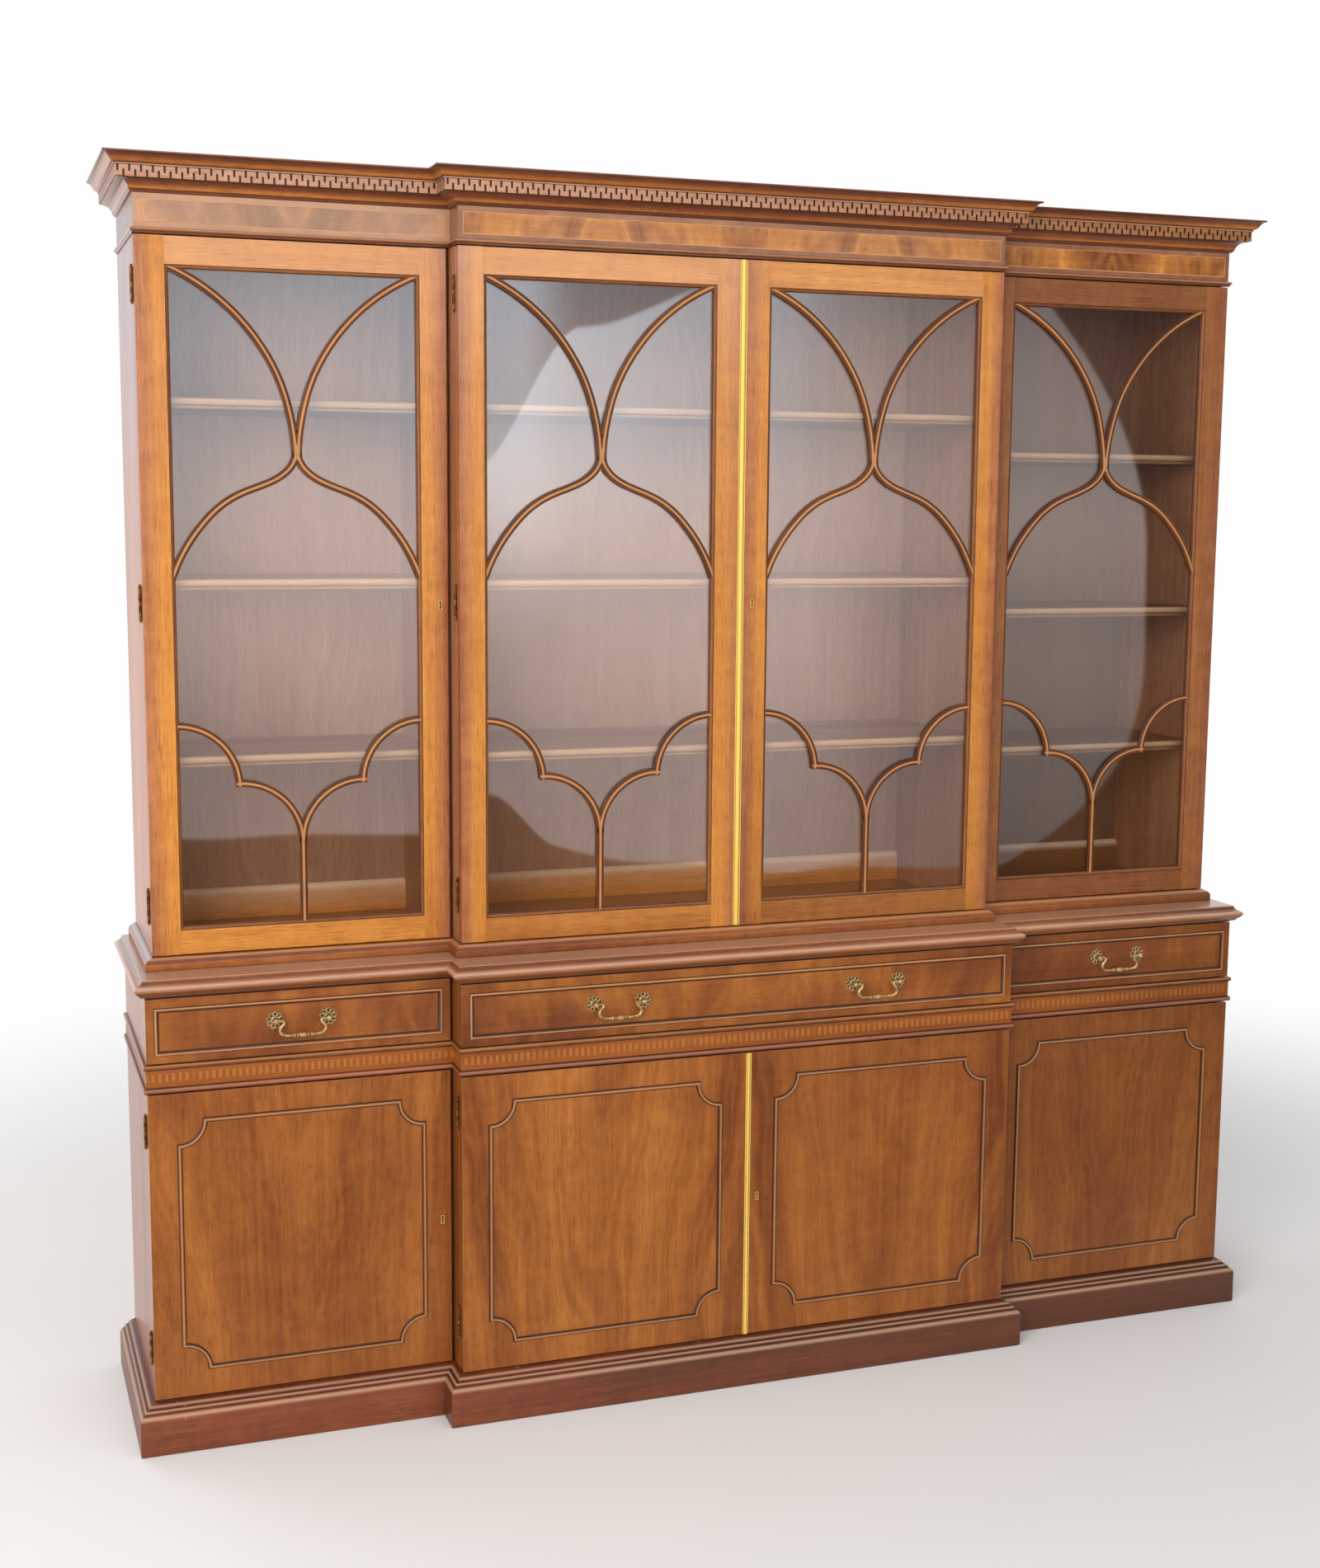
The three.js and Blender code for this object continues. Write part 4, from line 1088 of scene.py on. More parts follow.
# plinth: a face with two reeds at the top, which the tones draw lighter as painted highlight, with painted shade in the
# quirks; painted shade darkens it towards the right
p = Part()
p.painted_shade = lambda P: 0.45 * smooth01((np.asarray(P, float)[..., 0] - 20.0) / 330.0) + 0.25 * smooth01((np.asarray(P, float)[..., 0] - 490.0) / 60.0)
cornice_sweep(
    p,
    LOW,
    [(24.6, 0), (26, 1.5), (26, 57), (25.6, 59.2), (24.4, 61.6), (22.3, 63.9), (19.4, 65.4), (18.7, 65.9), (18.4, 67.2),
     (17.9, 69.2), (16.4, 70.6), (14.2, 71.1), (12.3, 71.3), (11.9, 72.2), (10.9, 74.4), (9.2, 75.8), (7.2, 76.9),
     (4.6, 77.9), (2.0, 78.9), (0.4, 80.0)],
    [(-18, 80), (-18, 55), (4, 55), (4, 0)],
    tones=[-0.5, 0.02, 0.03, 0.12, 0.42, 0.33, -0.1, -0.85, -0.25, 0.34, 0.4, 0.0, -0.85, -0.25, 0.26, 0.34, 0.1, 0.0, -0.2, -0.5],
)
p.build("plinth_moulded", [M_PLINTH], "case", ["plinth", "plinth_centre"], sharp=32)

# lower case: sides, inner uprights, floor, back and cupboard shelves
for s in (-1, 1):
    tag = "left" if s < 0 else "right"
    p = Part()
    a, b = mirror(s, LOW_IN, LOW["xs"])
    rbox(p, (a, LFW, 80.05), (b, YB, 730.9), 0.9, "z", wear=0.15)
    a, b = mirror(s, LOW_IN - 14.0, LOW_IN + 0.4)
    rbox(p, (a, LFW + 2, 614), (b, BACK_F - 6, 631), 0.8, "y", mat=1)
    p.build(f"base_side_{tag}_panel", [M_SIDE, M_INSIDE], "case", [f"base_side_{tag}"])

    p = Part()
    poly = [(LOW_CIN, BACK_F - 0.3), (LOW_CIN, LFC), (LOW["xc"], LFC), (LOW["xc"], LFW), (LOW_STOP, LFW), (LOW_STOP, BACK_F - 0.3)]
    poly = [(s * x, y) for x, y in poly]
    prism(p, rounded(poly, [0.6, 0.9, 0.9, 0.3, 0.9, 0.6], 2), "z", 98.02, 730.9, fr=default_frame("z"))
    for lo, hi, y0 in ((LOW_STOP - 0.4, LOW_STOP + 14, LFW + 2), (LOW_CIN - 14, LOW_CIN + 0.4, LFC + 2)):
        a, b = mirror(s, lo, hi)
        rbox(p, (a, y0, 614), (b, BACK_F - 6, 631), 0.8, "y", mat=1)
    p.build(f"base_upright_{tag}_board", [M_MOULD, M_INSIDE], "case", [f"base_upright_{tag}"])

p = Part()
poly = [(-LOW_IN, BACK_F - 0.3), (-LOW_IN, LFW), (-LOW["xc"], LFW), (-LOW["xc"], LFC), (LOW["xc"], LFC), (LOW["xc"], LFW), (LOW_IN, LFW), (LOW_IN, BACK_F - 0.3)]
prism(p, rounded(poly, [0, 0.9, 0.3, 0.9, 0.9, 0.3, 0.9, 0], 2), "z", 80.05, 98.0, fr=default_frame("x"))
p.build("base_floor_board", [M_MOULD], "case", ["base_floor"])


def boarded(p, x0, x1, y0, y1, z0, z1, width, mat=0, groove=0.7):
    """Upright boards side by side, each with its own grain and a fine joint between."""
    n = max(1, round((x1 - x0) / width))
    xs = np.linspace(x0, x1, n + 1)
    for k in range(n):
        rbox(p, (xs[k] + 0.02, y0, z0), (xs[k + 1] - 0.02, y1, z1), groove, "z", mat)


p = Part()
boarded(p, -LOW_IN + 0.3, LOW_IN - 0.3, BACK_F, BACK_F + 8, 80.05, 730.8, 150)
p.build("base_back_boards", [M_INSIDE], "case", ["base_back"])

for tag, a, b, y0 in (
    ("left", -LOW_IN + 1, -LOW_STOP - 1, LFW + 22),
    ("centre", -LOW_CIN + 1, LOW_CIN - 1, LFC + 22),
    ("right", LOW_STOP + 1, LOW_IN - 1, LFW + 22),
):
    p = Part()
    rbox(p, (a, y0, 326), (b, BACK_F - 1, 342), 1.4, "x", wear=0.12)
    p.build(f"cupboard_shelf_{tag}_board", [M_INSIDE], "case", [f"cupboard_shelf_{tag}"])

# band between cupboards and drawers: two beads and an inlaid strip, with the rails behind
p = Part()
# painted shade on the right wing; the tones below paint highlight on the two beads and shade in their quirks
p.painted_shade = duller_right(0.3)
bd = [(1.0, 580.1), (3.6, 580.9), (5.0, 583.4), (5.0, 586.0), (4.4, 588.0), (2.9, 589.3), (1.6, 589.6), (1.5, 590.0),
      (1.5, 616.9), (1.6, 617.2), (2.3, 617.9), (4.2, 619.0), (5.0, 621.4), (5.0, 623.6), (3.8, 625.5), (1.0, 625.95)]
cornice_sweep(
    p, LOW, bd, [(0.32, 625.95), (0.32, 580.1)],
    mats=[2] * 7 + [1] + [0] * 7,
    tones=[-0.8, -0.4, 0.1, 0.2, 0.05, -0.5, -0.95, -0.35, -0.35, -0.95, -0.8, -0.4, 0.0, 0.24, 0.1, -0.5],
    exact=(1,), inner_back=YB,
)
for a, b, y0 in ((-LOW["xs"], -LOW["xc"], LOW["yw"]), (LOW["xc"], LOW["xs"], LOW["yw"]), (-LOW["xc"], LOW["xc"], LOW["yc"])):
    rbox(p, (a - 0.2, y0 - 0.4, 580.2), (b + 0.2, y0 + 20.2, 625.8), 0.4, "x", mat=3)
p.build("waist_band_inlaid", [M_BEAD, M_INLAY, M_DARK, M_MOULD], "case", ["waist_band"], sharp=32)


def moulded_top(name, c, outer, mats, tones, node, band=24.0, at=None, warm=None, light=0.0):
    """A board with moulded front and sides, flat above and below."""
    p = Part()
    # painted shade on the right wing
    p.painted_shade = duller_right(0.4)
    if warm is not None:
        p.warm = warm
    n = len(outer)
    pl = np.concatenate([[0], np.cumsum([math.dist(outer[i], outer[i + 1]) for i in range(n - 1)])])
    rings = [outline(c, q, YB) for q, _ in outer]
    isl = p.new()
    for j in range(8):
        k = (j + 1) % 8
        d = rings[0][k] - rings[0][j]
        ax = 0 if abs(d[0]) > abs(d[1]) else 1
        sd = seed()
        for i in range(n - 1):
            P = np.array([(*rings[i][j], outer[i][1]), (*rings[i][k], outer[i][1]), (*rings[i + 1][k], outer[i + 1][1]), (*rings[i + 1][j], outer[i + 1][1])])
            G = np.zeros((4, 3))
            G[:, 0] = P[:, ax] * MM
            G[:2, 1], G[2:, 1] = pl[i] * MM, pl[i + 1] * MM
            p.face(P, G + sd, [tones[i], tones[i], tones[i + 1], tones[i + 1]], at[i] if at else 0, isl)
    fr = default_frame("x")
    P = np.column_stack([rings[0], np.full(8, outer[0][1])])
    G = np.column_stack([P[:, 0] * MM, P[:, 1] * MM, P[:, 2] * 0]) + seed()
    p.face(P, G, 0.0, 0, isl)
    # the top: a band along the edge with its grain across, a fine joint, and the field; light is a painted highlight, a
    # sheen over the top
    z = outer[-1][1]
    ring = [rings[-1]] + [outline(c, q, YB) for q in (outer[-1][0] - band, outer[-1][0] - band - 0.5, outer[-1][0] - band - 1.0)]
    tt = [light, light, -0.9, light]
    for a in range(3):
        for j in range(7):
            k = j + 1
            P = np.array([(*ring[a][j], z), (*ring[a][k], z), (*ring[a + 1][k], z), (*ring[a + 1][j], z)])
            G = np.column_stack([P[:, 1] * MM, P[:, 0] * MM, P[:, 2] * 0]) if abs(ring[a][k][0] - ring[a][j][0]) > 1 else np.column_stack([P[:, 0] * MM, P[:, 1] * MM, P[:, 2] * 0])
            p.face(P, G + 0.31 * j, [tt[a], tt[a], tt[a + 1], tt[a + 1]], 0, isl)
    P = np.column_stack([ring[3], np.full(8, z)])
    G = np.column_stack([P[:, 0] * MM, P[:, 1] * MM, P[:, 2] * 0]) + seed()
    p.face(P, G, light, 0, isl)
    return p.build(name, mats, "case", [node], sharp=32)


def more_golden(P):
    """Redder at the left end, golden brown from there."""
    return 0.22 + 0.6 * smooth01((np.asarray(P, float)[..., 0] + 800.0) / 700.0)


# tones paint highlight on the round of the nose and shade under it and in the quirks
moulded_top(
    "countertop_moulded", LOW,
    [(0.2, 731.05), (0.2, 732.8), (4.6, 733.4), (7.3, 735.0), (7.9, 736.6), (9.6, 738.2), (12.4, 740.6), (14.8, 743.3),
     (16.1, 745.8), (16.55, 747.6), (16.1, 749.0), (14.8, 750.3), (12.6, 751.6), (10.2, 752.6), (7.6, 754.0), (5.6, 755.8),
     (4.7, 757.4), (4.3, 759.4), (3.3, 760.6), (1.6, 761.0)],
    [M_MOULD],
    [-0.95, -0.9, -0.6, -0.5, -0.5, -0.4, -0.2, 0.0, 0.15, 0.26, 0.42, 0.52, 0.4, 0.2, 0.0, -0.5, -0.5, 0.0, 0.4, 0.26],
    "countertop", warm=more_golden, light=0.42,
)
# tones paint highlight on the ovolo and shade in the quirks
moulded_top(
    "upper_base_mould_moulded", UPP,
    [(12.0, 761.02), (12.5, 762.2), (12.5, 771.4), (11.9, 773.4), (10.6, 775.4), (8.6, 777.4), (6.4, 778.8), (4.2, 779.8), (2.0, 780.9), (0.2, 782.0)],
    [M_MOULD, M_FASCIA],
    [-0.95, -0.2, -0.02, -0.5, -0.25, 0.1, 0.36, 0.3, -0.1, -0.6],
    "upper_base_mould", at=[1, 1, 0, 0, 0, 0, 0, 0, 0], warm=more_golden,
)

# ------------------------------------------------------------------ upper case
for s in (-1, 1):
    tag = "left" if s < 0 else "right"
    p = Part()
    a, b = mirror(s, UPP_IN, UPP["xs"])
    face = (0, 0) if s > 0 else (0, -1)
    inside = (1, default_frame("z"))
    # painted shade on the inside face of the right side
    p.painted_shade = (lambda P: np.where(np.abs(np.asarray(P, float)[..., 0]) < UPP_IN + 1.0, 0.06, 0.0)) if s > 0 else 0.0
    rbox(p, (a, UFW, 782.05), (b, YB, 1886.9), 0.9, "z", wear=0.15, sides={face: inside})
    p.build(f"upper_side_{tag}_panel", [M_SIDE, M_INSIDE], "case", [f"upper_side_{tag}"])

    p = Part()
    poly = [(UPP_CIN, BACK_F - 0.3), (UPP_CIN, UFC), (UPP["xc"], UFC), (UPP["xc"], UFW), (UPP_STOP, UFW), (UPP_STOP, BACK_F - 0.3)]
    poly = [(s * x, y) for x, y in poly]
    prism(p, rounded(poly, [0.6, 0.9, 0.9, 0.3, 0.9, 0.6], 2), "z", 782.05, 1886.9, fr=default_frame("z"))
    p.build(f"upper_upright_{tag}_board", [M_INSIDE], "case", [f"upper_upright_{tag}"])

BAYS = (("left", -UPP_IN, -UPP_STOP), ("centre", -UPP_CIN, UPP_CIN), ("right", UPP_STOP, UPP_IN))
p = Part()


def back_frame(xm, zm, sd):
    def g(Q):
        Q = np.asarray(Q, float)
        return np.stack([(Q[..., 2] - zm) * MM, (Q[..., 0] - xm) * MM, np.full(Q.shape[:-1], sd)], -1)

    return g


def low_shade(base):
    """Painted shade: darker behind the bottom shelf, plus a base amount over the whole face."""
    return lambda P: np.where(
        np.asarray(P, float)[..., 1] < BACK_F + 4.0, base + 0.3 * smooth01((1000.0 - np.asarray(P, float)[..., 2]) / 200.0), 0.0)


# one veneered sheet for each bay, with two leaves in the wide one
for k, (a, b) in enumerate(((-UPP_IN + 0.3, -480.0), (-480.0, -2.0), (-2.0, 480.0), (480.0, UPP_IN - 0.3))):
    # painted shade, most on the sheet of the right bay, further from the light
    p.painted_shade = low_shade((0.04, 0.0, 0.0, 0.5)[k])
    rbox(p, (a + 0.02, BACK_F, 782.1), (b - 0.02, BACK_F + 8, 1886.8), 0.2, "z", 1, back_frame((a + b) / 2, 1240 + 90 * (k % 2), 0.7 + 1.3 * k))
for tag, a, b in BAYS:
    # painted shade on the right bay's skirting; painted_glow and the tones draw the rounded front lighter as painted
    # highlight
    p.painted_shade = 0.72 if tag == "right" else 0.0
    painted_glow = {"left": 0.3, "centre": 0.2, "right": 0.0}[tag]
    poly = [(BACK_F + 0.5, 782.1), (BACK_F + 0.5, 834.6), (BACK_F - 1.0, 835), (BACK_F - 5.0, 833.2), (BACK_F - 9.0, 829.4),
            (BACK_F - 11.3, 825.0), (BACK_F - 12, 820), (BACK_F - 12, 782.1)]
    prism(p, poly, "x", a + 0.35, b - 0.35, mat=2, tone=np.array([[0.0, 0.0, 0.5, 0.85, 0.8, 0.3 + 0.4 * painted_glow, painted_glow, painted_glow - 0.3]]))
p.build("upper_back_sheets", [M_INSIDE, M_BACK, M_SKIRT_PAINTED_LIGHT], "case", ["upper_back"])

p = Part()
P = np.column_stack([outline(UPP, -20.4, YB - 20.4), np.zeros(8)])
isl = p.new()
fr = default_frame("x")
lo_, hi_ = P.copy(), P.copy()
lo_[:, 2], hi_[:, 2] = 1887.05, 1905.0
for j in range(8):
    k = (j + 1) % 8
    q = np.array([lo_[j], lo_[k], hi_[k], hi_[j]])
    p.face(q, fr(q), 0.0, 0, isl)
p.face(lo_, fr(lo_) , 0.0, 0, isl)
p.face(hi_, fr(hi_ + np.array([0, 0, 0])), 0.0, 0, isl)
p.build("upper_top_board", [M_INSIDE], "case", ["upper_top"])

# shelves with a double reed along the front edge
for tag, a, b in BAYS:
    y0 = (UFC if tag == "centre" else UFW) + 10
    zs = (1052.0, 1301.5, 1578.5) if tag == "right" else ((1082.0, 1360.0, 1638.5) if tag == "centre" else (1083.5, 1361.5, 1640.0))
    for i, z in enumerate(zs):
        p = Part()
        # painted shade on the shelves of the right bay
        p.painted_shade = 0.42 if tag == "right" else 0.0
        h = 8.5
        # (y back from the front, z up from the middle)
        edge = [(3.4, -8.5), (1.2, -8.1), (0.35, -6.6), (0.35, -4.8), (1.2, -3.6), (1.9, -3.2), (1.2, -2.9), (0.3, -1.4), (0.0, 1.2), (0.05, 4.0),
                (0.7, 6.2), (1.9, 7.6), (3.2, 8.3), (4.6, 8.5)]
        # tones paint highlight on the upper reed and shade in the groove
        tn = [-0.3, -0.2, -0.05, -0.15, -0.6, -0.95, -0.5, 0.05, 0.25, 0.4, 0.4, 0.2, 0.0, 0.0]
        P = [(y0 + y, z + q) for y, q in edge]
        nE = len(P)
        loop = P + [(BACK_F - 1.2, z + 8.5), (BACK_F - 1.2, z - 8.5)]
        isl = p.new()
        x0, x1 = a + 1, b - 1
        fr = default_frame("x")
        frE = default_frame("x")
        A = np.array([(x0, y, q) for y, q in loop])
        B = np.array([(x1, y, q) for y, q in loop])
        n = len(loop)
        for j in range(n):
            k = (j + 1) % n
            q = np.array([A[j], B[j], B[k], A[k]])
            ed = j < nE - 1
            g = frE if ed else fr
            G = g(q)
            if not ed:
                G[:, 1] += q[:, 1] * MM
            t0 = tn[j] if j < nE else 0.0
            t1 = tn[k] if k < nE else 0.0
            p.face(q, G, [t0, t0, t1, t1], 1 if ed else 0, isl)
        for E in (A, B):
            p.face(E, fr(E), 0.0, 0, isl)
        p.build(f"shelf_{tag}_{i + 1}_board", [M_INSIDE, M_EDGE], "case", [f"shelf_{tag}_{i + 1}"], sharp=32)

# frieze: bead, figured veneer in book-matched leaves, boxwood line
p = Part()
# tones paint highlight on the bead and shade in the quirks beside it
cornice_sweep(
    p, UPP,
    [(2.0, 1887.05), (2.3, 1887.9), (2.3, 1889.2), (3.0, 1890.0), (4.6, 1890.9), (5.2, 1892.4), (4.8, 1894.0), (3.4, 1895.2), (1.4, 1895.8), (0.2, 1896.0), (-0.5, 1896.2), (-0.5, 1945.95)],
    [(-20, 1945.95), (-20, 1887.05)],
    tones=[-0.9, -0.7, -0.6, -0.9, -0.4, 0.05, 0.3, 0.34, 0.2, -0.5, -0.7, -0.3],
)
FR_EDGE = 8.5
LEAVES = {
    "left": (-UPP["xs"], [-721.0], -UPP["xc"]),
    "centre": (-UPP["xc"], [-238.0, 0.0, 238.0], UPP["xc"]),
    "right": (UPP["xc"], [721.0], UPP["xs"]),
}


def leaf_frame(x_mid, sgn, sd):
    def g(Q):
        Q = np.asarray(Q, float)
        return np.stack([(Q[..., 0] - x_mid) * sgn * MM, Q[..., 2] * MM, np.zeros(Q.shape[:-1])], -1) + sd

    return g


def side_frame(sd):
    def g(Q):
        Q = np.asarray(Q, float)
        return np.stack([Q[..., 1] * MM, Q[..., 2] * MM, np.zeros(Q.shape[:-1])], -1) + sd

    return g


def veneer_sheet(p, plane, a, b, z0, z1, at, fr, mat, tone=0.0):
    """A sheet 0.5 thick on the front (plane y) or a side (plane x)."""
    if plane == "y":
        rbox(p, (a, at, z0), (b, at + 0.5, z1), 0.05, "x", mat, fr, seg=1, base=tone)
    else:
        s = -1 if at < 0 else 1
        lo, hi = (at, at + 0.5) if s < 0 else (at - 0.5, at)
        rbox(p, (lo, a, z0), (hi, b, z1), 0.05, "y", mat, fr, seg=1)


def line_box(p, plane, a, b, z0, z1, at, mat, along):
    if plane == "y":
        rbox(p, (a, at - 0.12, z0), (b, at + 0.4, z1), 0.05, along, mat, seg=1)
    else:
        s = -1 if at < 0 else 1
        rbox(p, (at - 0.12, a, z0) if s < 0 else (at - 0.4, a, z0), (at + 0.4, b, z1) if s < 0 else (at + 0.12, b, z1), 0.05, along, mat, seg=1)


ZF = (1896.1, 1904.0, 1937.0, 1945.9)
for tag, (xa, cuts, xb) in LEAVES.items():
    y = UPP["yc"] if tag == "centre" else UPP["yw"]
    ends = [xa + FR_EDGE] + cuts + [xb - FR_EDGE]
    p.warm = {"left": 0.0, "centre": 0.35, "right": 1.0}[tag]
    # painted sheen: the frieze is drawn paler on the left, where the light falls
    painted_sheen_left = {"left": 0.3, "centre": 0.06, "right": 0.0}[tag]
    sd = seed()
    for k in range(len(ends) - 1):
        sgn = 1 if k % 2 else -1
        joint = ends[k + 1] if k % 2 == 0 else ends[k]
        veneer_sheet(p, "y", ends[k], ends[k + 1], ZF[1], ZF[2], y, leaf_frame(joint, sgn, sd), 1, 0.75 * painted_sheen_left)
    # cross-cut border
    veneer_sheet(p, "y", xa + 0.05, xb - 0.05, ZF[0], ZF[1], y, leaf_frame(0, 1, seed()), 2, painted_sheen_left)
    veneer_sheet(p, "y", xa + 0.05, xb - 0.05, ZF[2], ZF[3], y, leaf_frame(0, 1, seed()), 2, painted_sheen_left)
    veneer_sheet(p, "y", xa + 0.05, xa + FR_EDGE, ZF[1], ZF[2], y, leaf_frame(0, 1, seed()), 2, painted_sheen_left)
    veneer_sheet(p, "y", xb - FR_EDGE, xb - 0.05, ZF[1], ZF[2], y, leaf_frame(0, 1, seed()), 2, painted_sheen_left)
    line_box(p, "y", xa + FR_EDGE - 0.7, xb - FR_EDGE + 0.7, ZF[1] - 0.6, ZF[1] + 0.6, y, 3, "x")
    line_box(p, "y", xa + FR_EDGE - 0.7, xb - FR_EDGE + 0.7, ZF[2] - 0.4, ZF[2] + 0.4, y, 3, "x")
    for x in (xa + FR_EDGE, xb - FR_EDGE):
        line_box(p, "y", x - 0.45, x + 0.45, ZF[1], ZF[2], y, 3, "z")
p.warm = 0.5
for s in (-1, 1):
    veneer_sheet(p, "x", UPP["yw"] + 0.6, YB, ZF[0], ZF[3], s * UPP["xs"], side_frame(seed()), 2)
    veneer_sheet(p, "x", UPP["yc"] + 0.6, UPP["yw"] - 0.05, ZF[0], ZF[3], s * UPP["xc"], side_frame(seed()), 2)
p.build("frieze_veneered", [M_MOULD, M_FRIEZE, M_BORDER, M_STRING], "case", ["frieze"], sharp=32)

# cornice: bed mould, blind fret, cyma and fillet
p = Part()
FRET_P, FRET_IN = 26.5, 23.2


def cornice_painted_light(P):
    """Painted light: golden on the lower part of the bed mould and the cyma, where light catches them, red-brown
    elsewhere; the fret is drawn paler towards the left, where the light falls.
    """
    P = np.asarray(P, float)
    z, x = P[..., 2], P[..., 0]
    fretted = (z > 1964.7) & (z < 1981.3)
    low = smooth01((1958.5 - z) / 6.0) * smooth01((z - 1949.0) / 1.5)
    high = smooth01((1993.0 - z) / 6.0) * smooth01((z - 1984.0) / 1.0)
    return np.where(fretted, 0.1 + 0.9 * smooth01((x + 500.0) / 1500.0), np.maximum(low, high) * 0.95)


p.warm = cornice_painted_light
# tones paint shade in the hollows and quirks and highlight on the rounded members
cornice_sweep(
    p, UPP,
    [(0.4, 1946.02), (2.6, 1946.6), (4.4, 1948.2), (5.0, 1949.6), (6.2, 1950.4), (6.5, 1952.4), (7.4, 1955.2), (9.0, 1958.0),
     (11.4, 1960.4), (14.6, 1962.2), (18.4, 1963.3), (22.6, 1963.9), (FRET_IN, 1964.6),
     (FRET_IN, 1981.0), (28.0, 1981.2), (28.6, 1981.8), (28.6, 1983.4), (28.2, 1983.9), (29.6, 1984.4), (32.4, 1985.8),
     (34.7, 1988.0), (36.3, 1990.6), (37.7, 1993.2), (39.6, 1995.2), (42.2, 1996.4), (44.6, 1996.9), (45.0, 1997.4), (45.0, 1999.2), (44.2, 2000.0)],
    [(-20, 2000.0), (-20, 1946.02)],
    tones=[-0.85, -0.5, -0.1, -0.85, -0.8, 0.0, 0.0, -0.04, -0.12, -0.35, -0.55, -0.7, -0.9, -0.98, -0.3, 0.3, 0.3, -0.9, -0.5, 0.0, 0.0, 0.0,
           -0.15, -0.35, -0.45, -0.75, -0.35, 0.15, 0.3],
)


def fret(p, plane, at, a, b, outward, mat, sd):
    """A sawn strip with round-ended slots from above and below in turn, on the plane at, from a to b."""
    z0, z1 = 1964.8, 1981.2
    step, w = 8.5, 1.65
    n = max(1, round((b - a) / step))
    step = (b - a) / n
    depth = FRET_P - FRET_IN + 0.2

    def put(u, z, d):
        # u along the run, d inwards from the face
        if plane == "y":
            return (u, at + d, z)
        return (at - outward * d, u, z)

    def g(P):
        P = np.asarray(P)
        k = 0 if plane == "y" else 1
        return np.stack([P[..., k] * MM, P[..., 2] * MM, np.zeros(P.shape[:-1])], -1) + sd

    isl = p.new()
    m = 4
    for i in range(n):
        u0, u1 = a + i * step, a + (i + 1) * step
        um = (u0 + u1) / 2
        top = i % 2 == 0
        ze = 1971.2 if top else 1974.8
        # arch outline of the slot from its open end round and back
        if top:
            arcp = [(um - w, z1)] + [(um - w * math.cos(t), ze + w - w * math.sin(t)) for t in np.linspace(0, math.pi, m + 1)] + [(um + w, z1)]
            loop = [(u0, z0), (u0, z1)] + arcp + [(u1, z1), (u1, z0)]
        else:
            arcp = [(um + w, z0)] + [(um + w * math.cos(t), ze - w + w * math.sin(t)) for t in np.linspace(0, math.pi, m + 1)] + [(um - w, z0)]
            loop = [(u1, z1), (u1, z0)] + arcp + [(u0, z0), (u0, z1)]
        F = np.array([put(u, z, 0.0) for u, z in loop])
        p.face(F, g(F), 0.0, mat, isl)
        A = np.array([put(u, z, 0.0) for u, z in arcp])
        B = np.array([put(u, z, depth) for u, z in arcp])
        # slot walls drawn dark as painted shade
        for k in range(len(arcp) - 1):
            q = np.array([A[k], A[k + 1], B[k + 1], B[k]])
            p.face(q, g(q), [-0.75, -0.75, -1.0, -1.0], mat, isl)
        # the solid underside and top of the strip beside the slot, with a little painted shade
        for zz in (z0, z1):
            if (zz == z1) == top:
                spans = ((u0, um - w), (um + w, u1))
            else:
                spans = ((u0, u1),)
            for s0, s1 in spans:
                q = np.array([put(s0, zz, 0.0), put(s1, zz, 0.0), put(s1, zz, depth), put(s0, zz, depth)])
                p.face(q, g(q), -0.1, mat, isl)
    # ends
    for u in (a, b):
        q = np.array([put(u, z0, 0.0), put(u, z1, 0.0), put(u, z1, depth), put(u, z0, depth)])
        p.face(q, g(q), -0.1, mat, isl)


e = FRET_P
fret(p, "y", UPP["yw"] - e, -UPP["xs"] - e, -UPP["xc"] - e, -1, 1, seed())
fret(p, "y", UPP["yc"] - e, -UPP["xc"] - e, UPP["xc"] + e, -1, 1, seed())
fret(p, "y", UPP["yw"] - e, UPP["xc"] + e, UPP["xs"] + e, -1, 1, seed())
for s in (-1, 1):
    fret(p, "x", s * (UPP["xs"] + e), UPP["yw"] - e + 3.5, YB, s, 1, seed())
    fret(p, "x", s * (UPP["xc"] + e), UPP["yc"] - e + 3.5, UPP["yw"] - e, s, 1, seed())
p.build("cornice_moulded", [M_MOULD, M_FRET], "case", ["cornice"], sharp=32)


